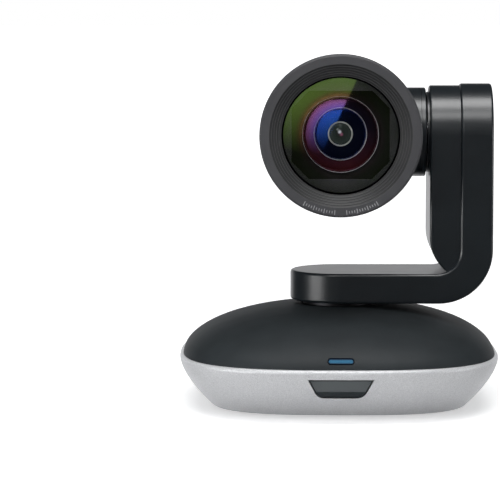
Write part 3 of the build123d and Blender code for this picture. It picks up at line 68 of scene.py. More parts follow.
class Shader:
    """One material, with short calls that add and link its nodes."""

    def __init__(self, name):
        self.material = bpy.data.materials.new(name)
        self.material.use_nodes = True
        self.nodes = self.material.node_tree.nodes
        self.links = self.material.node_tree.links
        self.surface = self.nodes["Principled BSDF"]
        self.output = self.nodes["Material Output"]
        self.coords = self.add("ShaderNodeTexCoord").outputs["Object"]

    def add(self, kind, **settings):
        node = self.nodes.new(kind)
        for key, value in settings.items():
            setattr(node, key, value)
        return node

    def link(self, source, target):
        self.links.new(source, target)

    def put(self, **values):
        """Sets sockets of the surface shader; an underscore in a name stands for a space."""
        for key, value in values.items():
            self.surface.inputs[key.replace("_", " ")].default_value = value

    def stretched(self, stretch):
        """Object coordinates, scaled per axis."""
        mapping = self.add("ShaderNodeMapping")
        mapping.inputs["Scale"].default_value = stretch
        self.link(self.coords, mapping.inputs["Vector"])
        return mapping.outputs["Vector"]

    def noise(self, scale, detail=3.0, stretch=None):
        """Noise with that many features to a metre, from 0 to 1."""
        texture = self.add("ShaderNodeTexNoise")
        texture.inputs["Scale"].default_value = scale
        texture.inputs["Detail"].default_value = detail
        texture.inputs["Roughness"].default_value = NOISE_ROUGHNESS
        self.link(self.stretched(stretch) if stretch else self.coords, texture.inputs["Vector"])
        return texture.outputs["Fac"]

    def cells(self, scale, feature="F1"):
        """Voronoi cells, that many to a metre."""
        texture = self.add("ShaderNodeTexVoronoi", feature=feature)
        texture.inputs["Scale"].default_value = scale
        self.link(self.coords, texture.inputs["Vector"])
        return texture

    def ramp(self, value, stops, interpolation="LINEAR"):
        """Colour ramp: stops are (position, colour)."""
        ramp = self.add("ShaderNodeValToRGB")
        ramp.color_ramp.interpolation = interpolation
        elements = ramp.color_ramp.elements
        while len(elements) < len(stops):
            elements.new(0.5)
        for element, (position, colour) in zip(elements, stops):
            element.position = position
            element.color = (*colour, 1.0)
        self.link(value, ramp.inputs["Fac"])
        return ramp.outputs["Color"]

    def math(self, operation, a, b=0.0, c=0.0, clamp=False):
        """One math node; each value is a socket or a number."""
        node = self.add("ShaderNodeMath", operation=operation, use_clamp=clamp)
        for socket, value in zip(node.inputs, (a, b, c)):
            if isinstance(value, (int, float)):
                socket.default_value = value
            else:
                self.link(value, socket)
        return node.outputs["Value"]

    def spread(self, value, low, high):
        """Maps 0..1 to low..high."""
        node = self.add("ShaderNodeMapRange")
        node.inputs["To Min"].default_value = low
        node.inputs["To Max"].default_value = high
        self.link(value, node.inputs["Value"])
        return node.outputs["Result"]

    def bump(self, height, depth):
        """Adds a bump of that depth in metres, on top of any earlier one."""
        node = self.add("ShaderNodeBump")
        node.inputs["Distance"].default_value = depth
        self.link(height, node.inputs["Height"])
        earlier = self.surface.inputs["Normal"]
        if earlier.is_linked:
            self.link(earlier.links[0].from_socket, node.inputs["Normal"])
        self.link(node.outputs["Normal"], earlier)

    def drift(self, noise, low, high):
        """Colour that drifts from low to high over the middle of a noise's range."""
        return self.ramp(noise, [(0.3, low), (0.7, high)])

    def mottle(self, colour, amount, scale):
        """Base colour that drifts a little lighter and darker."""
        low = [c * (1 - amount) for c in colour]
        high = [min(1.0, c * (1 + amount)) for c in colour]
        self.link(self.drift(self.noise(scale), low, high), self.surface.inputs["Base Color"])

    def gloss_drift(self, low, high, scale):
        """Roughness that drifts between two values, as handling leaves it."""
        self.link(self.spread(self.noise(scale, 4.0), low, high), self.surface.inputs["Roughness"])

    def blend(self, share, a, b):
        """Colour a where share is 0, b where it is 1."""
        return self.mixed("MIX", share, a, b)

    def mixed(self, kind, share, a, b):
        """Two colours mixed in one of Blender's ways; each value is a socket or a constant."""
        node = self.add("ShaderNodeMix", data_type="RGBA", blend_type=kind)
        for name, value in (("Factor", share), ("A", a), ("B", b)):
            socket = next(socket for socket in node.inputs if socket.name == name and socket.enabled)
            if isinstance(value, tuple):
                socket.default_value = (*value, 1.0)
            elif isinstance(value, float):
                socket.default_value = value
            else:
                self.link(value, socket)
        return next(socket for socket in node.outputs if socket.enabled)

    def axes(self):
        """Object coordinates along X, Y and Z."""
        parts = self.add("ShaderNodeSeparateXYZ")
        self.link(self.coords, parts.inputs["Vector"])
        return parts.outputs["X"], parts.outputs["Y"], parts.outputs["Z"]

    def from_point(self, point_x, point_z):
        """Distance from a point, seen along Y."""
        x, _, z = self.axes()
        across = self.math("POWER", self.math("SUBTRACT", x, point_x), 2.0)
        up = self.math("POWER", self.math("SUBTRACT", z, point_z), 2.0)
        return self.math("SQRT", self.math("ADD", across, up))

    def lens_radius(self):
        """Distance from the optical axis, in millimetres."""
        return self.math("DIVIDE", self.from_point(0.0, LENS_Z), MM)


# ------------------------------------------------------------------ materials

# Moulded plastic: how many features of its colour drift, gloss drift and flow marks there are to a metre,
# and the detail of a fine grain
TINT_SCALE, GLOSS_SCALE, FLOW_SCALE = 90, 140, 160
GRAIN_DETAIL = 2.0


def moulded_plastic(name, colour, low, high, grain=2600, depth=0.012 * MM, coat=0.0, specular=0.5):
    """Spark-textured moulding: fine grain, faint flow marks, and gloss between two roughnesses."""
    shader = Shader(name)
    shader.mottle(colour, 0.10, TINT_SCALE)
    shader.gloss_drift(low, high, GLOSS_SCALE)
    shader.put(Coat_Weight=coat, Coat_Roughness=0.25, Specular_IOR_Level=specular)
    shader.bump(shader.noise(grain, GRAIN_DETAIL), depth)
    shader.bump(shader.noise(FLOW_SCALE, GRAIN_DETAIL), 0.8 * depth)
    return shader.material


# Silver paint: flakes and grain to a metre, and the colours of its darkest and brightest flakes
FLAKES, PAINT_GRAIN = 5200, 1500
FLAKE_DARK, FLAKE_BRIGHT = (0.43, 0.435, 0.45), (0.62, 0.625, 0.64)


def silver_paint():
    """Metallic paint on plastic: fine bright flakes under a satin clear coat."""
    shader = Shader("silver_paint")
    flakes = shader.cells(FLAKES).outputs["Color"]
    parts = shader.add("ShaderNodeSeparateColor")
    shader.link(flakes, parts.inputs["Color"])
    shade = shader.ramp(parts.outputs["Red"], [(0.0, FLAKE_DARK), (1.0, FLAKE_BRIGHT)])
    shader.link(shade, shader.surface.inputs["Base Color"])
    shader.put(Metallic=0.2, Coat_Weight=0.1, Coat_Roughness=0.3, Specular_IOR_Level=0.35)
    shader.gloss_drift(0.36, 0.44, 120)
    shader.bump(parts.outputs["Green"], 0.010 * MM)
    shader.bump(shader.noise(PAINT_GRAIN, GRAIN_DETAIL), 0.008 * MM)
    return shader.material


# Tool marks to a metre, along and across the marks
TOOL_LINE_ALONG, TOOL_LINE_ACROSS = 60.0, 5200


def turned_metal(name, colour, roughness, axis):
    """Machined metal with fine tool lines across one axis: 0 for X, 2 for Z."""
    shader = Shader(name)
    stretch = [TOOL_LINE_ALONG] * 3
    stretch[axis] = TOOL_LINE_ACROSS
    lines = shader.noise(1.0, stretch=stretch)
    groove = [c * 0.86 for c in colour]
    shader.link(shader.drift(lines, groove, colour), shader.surface.inputs["Base Color"])
    shader.put(Metallic=1.0)
    shader.gloss_drift(0.8 * roughness, 1.25 * roughness, 300)
    shader.bump(lines, 0.006 * MM)
    return shader.material


# Rolled grain to a metre, along and across the sheet
ROLLED_GRAIN = (260, 3200, 3200)


def cast_metal(name, colour, roughness):
    """Pressed or drawn metal with a faint rolled grain and soft stains."""
    shader = Shader(name)
    shader.mottle(colour, 0.08, 220)
    shader.put(Metallic=1.0)
    shader.gloss_drift(0.85 * roughness, 1.2 * roughness, 260)
    shader.bump(shader.noise(1.0, GRAIN_DETAIL, stretch=ROLLED_GRAIN), 0.008 * MM)
    return shader.material


def circuit_board():
    """Green solder mask that is lighter where copper tracks run under it."""
    shader = Shader("circuit_board")
    tracks = shader.cells(420, "DISTANCE_TO_EDGE").outputs["Distance"]
    over_track, bare = (0.035, 0.24, 0.09), (0.012, 0.10, 0.04)
    mask = shader.ramp(tracks, [(0.02, over_track), (0.05, bare)])
    shader.link(mask, shader.surface.inputs["Base Color"])
    shader.put(Coat_Weight=0.5, Coat_Roughness=0.15)
    shader.gloss_drift(0.30, 0.42, 500)
    shader.bump(tracks, 0.03 * MM)
    return shader.material


def rubber(name, colour, grain=1800):
    """Matt rubber with a fine dusty grain."""
    shader = Shader(name)
    shader.mottle(colour, 0.18, 260)
    shader.gloss_drift(0.72, 0.88, 200)
    shader.put(Sheen_Weight=0.08)
    shader.bump(shader.noise(grain), 0.03 * MM)
    return shader.material


def status_light():
    """Blue light pipe: glowing in its middle, dark towards its rim."""
    shader = Shader("status_light")
    low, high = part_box("status_light_pipe")
    x, _, z = shader.axes()
    half_length, half_height = (high.x - low.x) / 2, (high.z - low.z) / 2
    up = shader.math("SUBTRACT", z, (low.z + high.z) / 2)
    past_straight = shader.math("SUBTRACT", shader.math("ABSOLUTE", x), half_length - half_height)
    along = shader.math("MAXIMUM", past_straight, 0.0)
    square = shader.math("ADD", shader.math("POWER", up, 2.0), shader.math("POWER", along, 2.0))
    share = shader.math("DIVIDE", shader.math("SQRT", square), half_height)
    drift = shader.math("ADD", share, shader.math("MULTIPLY", shader.noise(900), 0.12))
    middle, body, rim = (0.017, 0.095, 0.175), (0.014, 0.080, 0.145), (0.003, 0.014, 0.035)
    shade = shader.ramp(drift, [(0.0, middle), (0.62, body), (0.9, rim)])
    shader.link(shade, shader.surface.inputs["Base Color"])
    shader.link(shade, shader.surface.inputs["Emission Color"])
    shader.put(Roughness=0.6, Specular_IOR_Level=0.15, Emission_Strength=0.2)
    return shader.material


# Infrared window: share of its height at which it folds, half width at its foot, width of its dark edge of
# painted shadow, and what a distance across is multiplied by to be the distance from its slanted side
WINDOW_FOLD = 0.36
WINDOW_FOOT_HALF = 8.8 * MM
WINDOW_SHADOW_EDGE = 0.35 * MM
WINDOW_SIDE_SLOPE = 0.9


def smoked_window():
    """Infrared window: dark polished plastic, painted lighter above its fold as a reflection, with a black
    edge of painted shadow.
    """
    shader = Shader("smoked_window")
    low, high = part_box("ir_window")
    x, _, z = shader.axes()
    height = shader.math("SUBTRACT", z, low.z)
    share = shader.math("DIVIDE", height, high.z - low.z)
    drift = shader.math("ADD", share, shader.math("MULTIPLY", shader.noise(300), 0.03))
    # painted reflection: the facet above the fold is lighter and the one below darker
    below, above = (0.024, 0.029, 0.032), (0.076, 0.084, 0.088)
    face = shader.ramp(drift, [(WINDOW_FOLD, below), (WINDOW_FOLD + 0.03, above)])
    half = shader.math("MULTIPLY_ADD", share, high.x - WINDOW_FOOT_HALF, WINDOW_FOOT_HALF)
    across = shader.math("SUBTRACT", half, shader.math("ABSOLUTE", x))
    side = shader.math("MULTIPLY", across, WINDOW_SIDE_SLOPE)
    ends = shader.math("MINIMUM", shader.math("SUBTRACT", high.z, z), height)
    inner = shader.math("GREATER_THAN", shader.math("MINIMUM", side, ends), WINDOW_SHADOW_EDGE)
    # painted shadow: a near-black edge all round the recessed window
    edge = shader.ramp(drift, [(0.0, (0.006, 0.007, 0.008)), (1.0, (0.010, 0.011, 0.012))])
    shader.link(shader.blend(inner, edge, face), shader.surface.inputs["Base Color"])
    shader.put(Specular_IOR_Level=0.3)
    shader.gloss_drift(0.36, 0.44, 400)
    shader.bump(shader.noise(900, GRAIN_DETAIL), 0.004 * MM)
    return shader.material


# Glass: what passes straight through it, and the width in mm over which its printed rim sets in
CLEAR = (0.97, 0.98, 0.98)
RIM_EDGE = 0.15


def coated_glass(name, coating, share, rim_r=None):
    """Thin coated glass: clear, with a coloured reflection.

    coating and share hold stops: a radius in mm with a colour, and a radius with the share reflected.
    A printed black rim starts at rim_r.
    """
    shader = Shader(name)
    shader.nodes.remove(shader.surface)
    radius = shader.lens_radius()
    smear = shader.math("MULTIPLY", shader.noise(70, GRAIN_DETAIL), 0.03)

    def by_radius(stops, wobble=True):
        """Colour by the distance from the axis, with its bands a little uneven."""
        far = stops[-1][0]
        place = shader.math("DIVIDE", radius, far)
        if wobble:
            place = shader.math("ADD", place, smear)
        return shader.ramp(place, [(r / far, colour) for r, colour in stops])

    gloss = shader.add("ShaderNodeBsdfGlossy")
    gloss.inputs["Roughness"].default_value = 0.02
    shader.link(by_radius(coating), gloss.inputs["Color"])
    clear = shader.add("ShaderNodeBsdfTransparent")
    clear.inputs["Color"].default_value = (*CLEAR, 1.0)
    part = by_radius([(r, (level, level, level)) for r, level in share])
    if rim_r:
        edge = by_radius([(rim_r, CLEAR), (rim_r + RIM_EDGE, (0.0, 0.0, 0.0))], wobble=False)
        shader.link(edge, clear.inputs["Color"])
        part = shader.math("MULTIPLY", part, shader.math("LESS_THAN", radius, rim_r))
    mix = shader.add("ShaderNodeMixShader")
    shader.link(part, mix.inputs["Fac"])
    shader.link(clear.outputs["BSDF"], mix.inputs[1])
    shader.link(gloss.outputs["BSDF"], mix.inputs[2])
    shader.link(mix.outputs["Shader"], shader.output.inputs["Surface"])
    return shader.material


# Printed scale on the bezel: radius, stroke width and lengths in mm, angles from straight down, the last
# stroke's number, how many strokes apart the long ones are, and how deep the print reaches
TICK_R, TICK_WIDTH, TICK_SHORT, TICK_LONG = 30.5, 0.32, 1.0, 1.9
TICK_START, TICK_STEP, TICKS, TICK_LONG_EVERY = radians(4.5), radians(2.0), 12, 4.0
TICK_DEPTH = 1.0 * MM

# The ribbed cone of the bezel: inner and outer radius in mm and number of ribs, as on the CAD part, and
# the share of a rib's pitch that its painted highlight takes on each side
CONE_IN_R, CONE_OUT_R, CONE_RIBS = 23.7, 28.6, 5
RIB_HIGHLIGHT = 0.075


def tick_marks(shader, radius):
    """1 on the strokes of a plain scale at the foot of the bezel, which has a row on each side, else 0."""
    x, y, z = shader.axes()
    turn = shader.math("ABSOLUTE", shader.math("ARCTAN2", x, shader.math("SUBTRACT", LENS_Z, z)))
    steps = shader.math("DIVIDE", shader.math("SUBTRACT", turn, TICK_START), TICK_STEP)
    whole = shader.math("ROUND", steps)
    off = shader.math("ABSOLUTE", shader.math("SUBTRACT", steps, whole))
    stroke = shader.math("LESS_THAN", shader.math("MULTIPLY", off, radius), TICK_WIDTH / 2 / TICK_STEP)
    from_middle = shader.math("ABSOLUTE", shader.math("SUBTRACT", whole, TICKS / 2))
    in_row = shader.math("LESS_THAN", from_middle, TICKS / 2 + 0.5)
    major = shader.math("LESS_THAN", shader.math("MODULO", whole, TICK_LONG_EVERY), 0.5)
    reach = shader.math("MULTIPLY_ADD", major, (TICK_LONG - TICK_SHORT) / 2, TICK_SHORT / 2)
    tall = shader.math("LESS_THAN", shader.math("ABSOLUTE", shader.math("SUBTRACT", radius, TICK_R)), reach)
    front = shader.math("LESS_THAN", y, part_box("lens_bezel")[0].y + TICK_DEPTH)
    marked = shader.math("MULTIPLY", shader.math("MULTIPLY", stroke, in_row), tall)
    return shader.math("MULTIPLY", marked, front)


def bezel_plastic():
    """Fine matt grey moulding; its recessed cone is painted darker as shade, and the edges of its ribs
    carry painted highlights.
    """
    shader = Shader("bezel_plastic")
    radius = shader.lens_radius()
    pitch = (CONE_OUT_R - CONE_IN_R) / CONE_RIBS
    turn = shader.math("DIVIDE", shader.math("SUBTRACT", radius, CONE_IN_R), pitch)
    tooth = shader.math("PINGPONG", turn, 0.5)
    on_edge = shader.math("LESS_THAN", tooth, RIB_HIGHLIGHT)
    inside = shader.math("LESS_THAN", radius, CONE_OUT_R + 0.1)
    on_rib = shader.math("MULTIPLY", on_edge, inside)
    tint = shader.noise(TINT_SCALE)
    band = shader.drift(tint, (0.033, 0.033, 0.037), (0.040, 0.040, 0.044))
    # painted shade: the recessed cone is much darker than the flat band
    cone = shader.drift(tint, (0.0105, 0.0105, 0.0120), (0.0140, 0.0140, 0.0155))
    # painted highlight: light lines on the edges of the ribs
    painted_rib_highlight = shader.drift(tint, (0.042, 0.042, 0.045), (0.058, 0.058, 0.062))
    ink = shader.drift(tint, (0.20, 0.20, 0.21), (0.26, 0.26, 0.27))
    base = shader.blend(on_rib, shader.blend(inside, band, cone), painted_rib_highlight)
    shader.link(shader.blend(tick_marks(shader, radius), base, ink), shader.surface.inputs["Base Color"])
    shader.gloss_drift(0.52, 0.62, GLOSS_SCALE)
    shader.bump(shader.noise(3400, GRAIN_DETAIL), 0.010 * MM)
    shader.bump(shader.noise(FLOW_SCALE, GRAIN_DETAIL), 0.008 * MM)
    return shader.material


# The material of each slot in the record. After its colour, a plastic has its least and greatest
# roughness, and a metal its middle roughness.
MATERIALS = {
    "silver_shell": silver_paint(),
    "black_cover": moulded_plastic("satin_cover", (0.0175, 0.0212, 0.0235), 0.52, 0.60, specular=0.20),
    "black_arm": moulded_plastic("satin_arm", (0.0062, 0.0088, 0.0110), 0.27, 0.33, specular=0.75),
    "bezel_grey": bezel_plastic(),
    "baffle_black": moulded_plastic(
        "baffle_plastic", (0.135, 0.122, 0.150), 0.50, 0.62, grain=3000, depth=0.010 * MM
    ),
    "black_plastic": moulded_plastic("black_plastic", (0.026, 0.026, 0.028), 0.40, 0.52),
    "chip_black": moulded_plastic(
        "chip_resin", (0.022, 0.022, 0.024), 0.50, 0.62, grain=4200, depth=0.014 * MM
    ),
    "gear_white": moulded_plastic("acetal", (0.74, 0.73, 0.68), 0.34, 0.44, grain=1800, depth=0.008 * MM),
    "sensor_glass": moulded_plastic(
        "sensor_face", (0.035, 0.045, 0.085), 0.12, 0.20, grain=900, depth=0.002 * MM, coat=0.8
    ),
    "light_blue": status_light(),
    "smoke_window": smoked_window(),
    "foot_rubber": rubber("foot_rubber", (0.035, 0.035, 0.037)),
    "cable_black": rubber("cable_jacket", (0.028, 0.028, 0.030), grain=900),
    "screw_steel": turned_metal("screw_steel", (0.52, 0.52, 0.54), 0.32, axis=2),
    "bearing_steel": turned_metal("bearing_steel", (0.62, 0.62, 0.64), 0.20, axis=0),
    "insert_brass": turned_metal("insert_brass", (0.72, 0.53, 0.24), 0.28, axis=2),
    "socket_metal": cast_metal("socket_metal", (0.60, 0.60, 0.62), 0.34),
    "frame_aluminium": cast_metal("frame_aluminium", (0.70, 0.71, 0.73), 0.38),
    "hub_black": cast_metal("hub_anodised", (0.030, 0.030, 0.033), 0.42),
    "motor_steel": cast_metal("motor_steel", (0.46, 0.46, 0.48), 0.35),
    "board_green": circuit_board(),
}

# Coatings, from the optical axis outwards: radius in mm and colour of the reflection, then its share
MATERIALS["cover_glass"] = coated_glass(
    "cover_coating",
    [(0, (0.05, 0.05, 0.08)), (14.8, (0.06, 0.03, 0.05)), (16.6, (0.50, 0.30, 0.11)),
     (18.6, (0.34, 0.50, 0.11)), (24.2, (0.36, 0.62, 0.12))],
    [(0, 0.02), (14.8, 0.03), (16.6, 0.30), (18.6, 0.42), (24.2, 0.42)],
    rim_r=22.9,
)
FRONT_COATING = coated_glass(
    "front_coating",
    [(0, (0.03, 0.02, 0.08)), (10.2, (0.10, 0.08, 0.60)), (11.6, (0.36, 0.18, 0.75)),
     (13.4, (0.46, 0.17, 0.50)), (15.0, (0.26, 0.07, 0.12)), (15.4, (0.10, 0.04, 0.04))],
    [(0, 0.02), (9.9, 0.03), (10.9, 0.50), (15.4, 0.55)],
)
SECOND_COATING = coated_glass(
    "second_coating",
    [(0, (0.03, 0.10, 0.30)), (4.6, (0.05, 0.20, 0.85)),
     (8.0, (0.04, 0.18, 0.95)), (10.5, (0.06, 0.16, 0.80))],
    [(0, 0.05), (4.2, 0.08), (5.2, 0.50), (10.5, 0.55)],
)
MATERIALS["lens_glass"] = FRONT_COATING

# The inner lens: its radius in mm, and its two painted highlights, each with its place right of and above
# the optical axis and its radius in mm, and its colour
PUPIL_R = 4.7
WHITE_PAINTED_GLINT = (-0.2, 0.5, 1.0, (0.55, 0.53, 0.58))
RED_PAINTED_GLINT = (0.5, -0.5, 1.0, (0.22, 0.05, 0.10))


def pupil_glass():
    """Inner lens: dark green glass that glows with painted shading, and two soft painted highlights beside
    its middle.
    """
    shader = Shader("pupil_glass")

    def painted_glint(x, up, size, colour):
        """A painted highlight: a soft spot that fades to black at its radius."""
        distance = shader.from_point(x * MM, LENS_Z + up * MM)
        near = shader.math("MULTIPLY_ADD", distance, -1 / (size * MM), 1.0, clamp=True)
        return shader.ramp(near, [(0.0, (0.0, 0.0, 0.0)), (1.0, colour)], "EASE")

    radius = shader.math("DIVIDE", shader.lens_radius(), PUPIL_R)
    drift = shader.math("ADD", radius, shader.math("MULTIPLY", shader.noise(700), 0.1))
    # painted shade: lighter in the middle, darkest part-way out, lighter again at the rim
    middle, dark, rim = (0.024, 0.021, 0.024), (0.010, 0.013, 0.011), (0.022, 0.026, 0.023)
    shade = shader.ramp(drift, [(0.0, middle), (0.45, dark), (1.0, rim)])
    painted_glints = shader.mixed("ADD", 1.0, painted_glint(*WHITE_PAINTED_GLINT), painted_glint(*RED_PAINTED_GLINT))
    shader.link(shade, shader.surface.inputs["Base Color"])
    # painted light: the glass glows with its painted shading and highlights
    shader.link(shader.mixed("ADD", 1.0, shade, painted_glints), shader.surface.inputs["Emission Color"])
    shader.put(Roughness=0.05, Coat_Weight=0.6, Emission_Strength=1.0)
    return shader.material


# The lens cell: inner and outer radius in mm of its painted red shine and the width of its soft edges, how
# far out its colours are set, the distance over which the painted shine fades, and its share on the optical
# axis
SHINE_IN_R, SHINE_OUT_R, SHINE_EDGE = 10.4, 15.4, 0.5
CELL_REACH = 25.0
SHINE_FADE = 24 * MM
SHINE_MIDDLE = 0.62


def cell_black():
    """Flat black inside the lens, with a painted dark red reflection low on its left between the first two
    lenses.
    """
    shader = Shader("cell_black")
    x, _, z = shader.axes()
    # painted reflected light: a dark red shine that is strongest low on the left
    rise = shader.math("ADD", x, shader.math("SUBTRACT", z, LENS_Z))
    painted_shine_share = shader.math("MULTIPLY_ADD", rise, -1 / SHINE_FADE, SHINE_MIDDLE, clamp=True)
    black, inner_red, outer_red = (0.004, 0.004, 0.005), (0.090, 0.012, 0.012), (0.13, 0.017, 0.015)
    stops = [
        (0.0, black),
        (SHINE_IN_R, black),
        (SHINE_IN_R + SHINE_EDGE, inner_red),
        (SHINE_OUT_R - SHINE_EDGE, outer_red),
        (SHINE_OUT_R, black),
    ]
    place = shader.math("DIVIDE", shader.lens_radius(), CELL_REACH)
    shine = shader.ramp(place, [(radius / CELL_REACH, colour) for radius, colour in stops])
    flat = shader.drift(shader.noise(TINT_SCALE), black, (0.006, 0.006, 0.007))
    shader.link(shader.blend(painted_shine_share, flat, shine), shader.surface.inputs["Base Color"])
    shader.put(Specular_IOR_Level=0.2)
    shader.gloss_drift(0.62, 0.74, GLOSS_SCALE)
    shader.bump(shader.noise(3000, GRAIN_DETAIL), 0.010 * MM)
    return shader.material


def paint_cad_nodes():
    """Gives every CAD node the material of its slot, and the lens cell its own black."""
    inside_black = cell_black()
    for subpart in frame["record"]["subparts"]:
        mesh = NODES[subpart["node"]].data
        mesh.materials.clear()
        own = inside_black if subpart["node"] == "lens_cell" else MATERIALS[subpart["material_slot"]]
        mesh.materials.append(own)


# ------------------------------------------------------------------ lens detail

# Steps round a turned piece, round the section of a ring, and from the middle of a lens to its edge
LATHE_STEPS, SECTION_STEPS, DOME_STEPS = 128, 12, 12
POLE_R = 0.02  # radius in mm at which a lens's middle ends

# Lenses, in mm along Y and from the axis: front, back, radius, and how far the front domes
FRONT_LENS = (-33.3, -30.6, 15.2, 0.01)
SECOND_LENS = (-29.7, -26.4, 10.45, 0.01)
PUPIL_LENS = (-25.9, -23.2, PUPIL_R, 1.3)

# Rings round them, pale as painted highlights on the lens edges, in mm: place along Y, radius, and radius
# of the round section
FRONT_RIM = (-33.55, 15.35, 0.16)
SECOND_RIM = (-30.05, 10.55, 0.17)
INNER_RIM = (-30.05, 4.75, 0.28)


def new_piece(name, vertices, faces, material, body):
    """A smooth mesh piece that rides on a body."""
    mesh = bpy.data.meshes.new(name)
    mesh.from_pydata([Vector(v) for v in vertices], [], faces)
    mesh.validate()
    mesh.update()
    mesh.materials.append(material)
    mesh.polygons.foreach_set("use_smooth", [True] * len(mesh.polygons))
    piece = bpy.data.objects.new(name, mesh)
    bpy.context.scene.collection.objects.link(piece)
    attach(piece, body)
    return piece


def lathe(name, profile, material, body, closed=True):
    """Turns a profile of (y, radius) points in millimetres about the optical axis."""
    vertices = []
    for y, radius in profile:
        for step in range(LATHE_STEPS):
            turn = tau * step / LATHE_STEPS
            vertices.append((radius * MM * cos(turn), y * MM, LENS_Z + radius * MM * sin(turn)))
    faces = []
    rows = len(profile)
    for row in range(rows if closed else rows - 1):
        here = row * LATHE_STEPS
        after = (row + 1) % rows * LATHE_STEPS
        for step in range(LATHE_STEPS):
            beside = (step + 1) % LATHE_STEPS
            faces.append((here + step, here + beside, after + beside, after + step))
    piece = new_piece(name, vertices, faces, material, body)
    mesh = piece.data
    solid = bmesh.new()
    solid.from_mesh(mesh)
    bmesh.ops.recalc_face_normals(solid, faces=solid.faces)
    solid.to_mesh(mesh)
    solid.free()
    return piece


def rounded_ring(name, measures, material):
    """A thin round-section ring about the optical axis."""
    y, radius, thickness = measures
    profile = []
    for step in range(SECTION_STEPS):
        turn = tau * step / SECTION_STEPS
        profile.append((y + thickness * cos(turn), radius + thickness * sin(turn)))
    return lathe(name, profile, material, "head")


def lens_shell(name, measures, material):
    """A lens's domed front and its edge, as a turned form that is open behind."""
    front_y, back_y, radius, bulge = measures
    profile = []
    for step in range(DOME_STEPS + 1):
        share = step / DOME_STEPS
        profile.append((front_y + bulge * share**2, max(radius * share, POLE_R)))
    profile.append((back_y, radius))
    return lathe(name, profile, material, "head", closed=False)


def build_lens():
    """Glass elements and rings seen through the cover glass; the rings are real parts, painted pale as
    highlights on the lens edges.
    """
    # painted highlights: the rings are pale so that they show as bright lines on the lens edges
    ring_highlight = moulded_plastic("ring_edge_highlight", (0.62, 0.60, 0.62), 0.30, 0.40, depth=0.004 * MM)
    grey_ring_highlight = moulded_plastic("grey_ring_edge_highlight", (0.34, 0.33, 0.31), 0.30, 0.40, depth=0.004 * MM)
    front = lens_shell("front_element", FRONT_LENS, FRONT_COATING)
    second = lens_shell("second_element", SECOND_LENS, SECOND_COATING)
    dome = lens_shell("pupil_lens", PUPIL_LENS, pupil_glass())
    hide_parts("lens_elements")
    rings = [
        rounded_ring("front_lens_rim", FRONT_RIM, ring_highlight),
        rounded_ring("second_lens_rim", SECOND_RIM, ring_highlight),
        rounded_ring("inner_lens_rim", INNER_RIM, grey_ring_highlight),
    ]


# ------------------------------------------------------------------ light, floor and camera

# Softboxes: name, place, height of the point on the pan axis that it faces, width, height, and watts
SOFTBOXES = [
    ("top_softbox", (0.0, -0.26, 1.15), 0.06, 1.0, 0.5, 11.0),
    ("front_softbox", (-0.05, -0.85, 0.95), 0.06, 0.8, 0.35, 4.6),
    ("left_strip", (-0.76, -0.51, 0.09), 0.05, 0.52, 0.15, 3.2),
    ("right_strip", (0.90, -0.30, 0.12), 0.03, 0.30, 0.20, 1.5),
    ("front_fill", (-0.30, -1.50, 0.50), 0.08, 0.35, 0.35, 2.1),
]


def softbox(name, place, target_z, width, height, power):
    """A rectangular light that faces the pan axis and isn't seen by the camera itself."""
    data = bpy.data.lights.new(name, "AREA")
    data.shape = "RECTANGLE"
    data.size = width
    data.size_y = height
    data.energy = power
    light = bpy.data.objects.new(name, data)
    light.location = place
    aim = (Vector((0, 0, target_z)) - Vector(place)).to_track_quat("-Z", "Y")
    light.rotation_euler = aim.to_euler()
    light.visible_camera = False
    bpy.context.scene.collection.objects.link(light)


# The world's colours: dark in front, the room, the band low behind, and what the camera sees
WORLD_FRONT, WORLD_ROOM = (0.009, 0.008, 0.010), (0.050, 0.054, 0.058)
WORLD_BAND, WORLD_SEEN = (1.06, 1.06, 1.08), (1.0, 1.0, 1.0)

# Where they set in, by a component of the direction: none of it at the first number, all at the second
ROOM_Y = (-0.93, -0.75)
BAND_Y = (0.62, 0.97)
BAND_Z = (0.34, 0.14)


def studio_world():
    """Dark in front, dim all round, with a white band low behind; the camera itself sees white."""
    world = bpy.data.worlds.new("studio")
    bpy.context.scene.world = world
    world.use_nodes = True
    nodes, links = world.node_tree.nodes, world.node_tree.links
    background = nodes["Background"]
    coords = nodes.new("ShaderNodeTexCoord")
    parts = nodes.new("ShaderNodeSeparateXYZ")
    links.new(coords.outputs["Generated"], parts.inputs["Vector"])

    def step(axis, limits):
        """0 to 1, smoothly, as a direction's component goes from one limit to the other."""
        node = nodes.new("ShaderNodeMapRange")
        node.interpolation_type = "SMOOTHSTEP"
        node.inputs["From Min"].default_value = limits[0]
        node.inputs["From Max"].default_value = limits[1]
        links.new(parts.outputs[axis], node.inputs["Value"])
        return node.outputs["Result"]

    def mixed(factor, a, b):
        """Colour a where factor is 0, b where it is 1."""
        node = nodes.new("ShaderNodeMix")
        node.data_type = "RGBA"
        links.new(factor, node.inputs["Factor"])
        for socket, colour in (("A", a), ("B", b)):
            if isinstance(colour, tuple):
                node.inputs[socket].default_value = (*colour, 1.0)
            else:
                links.new(colour, node.inputs[socket])
        return node.outputs["Result"]

    band = nodes.new("ShaderNodeMath")
    band.operation = "MULTIPLY"
    links.new(step("Y", BAND_Y), band.inputs[0])
    links.new(step("Z", BAND_Z), band.inputs[1])
    room = mixed(step("Y", ROOM_Y), WORLD_FRONT, WORLD_ROOM)
    lit = mixed(band.outputs["Value"], room, WORLD_BAND)
    path = nodes.new("ShaderNodeLightPath")
    seen = mixed(path.outputs["Is Camera Ray"], lit, WORLD_SEEN)
    links.new(seen, background.inputs["Color"])


# The floor's radius, and its own glow: levels at shares of a distance from the middle, and the strength
# of the glow as a light on the object and as a backdrop
FLOOR_R = 6.0
FLOOR_GLOW_REACH = 4.0
FLOOR_GLOW = [(0.0, 0.30), (0.06, 0.33), (0.12, 0.45), (0.45, 0.95)]
FLOOR_STRENGTH = (0.75, 1.4)


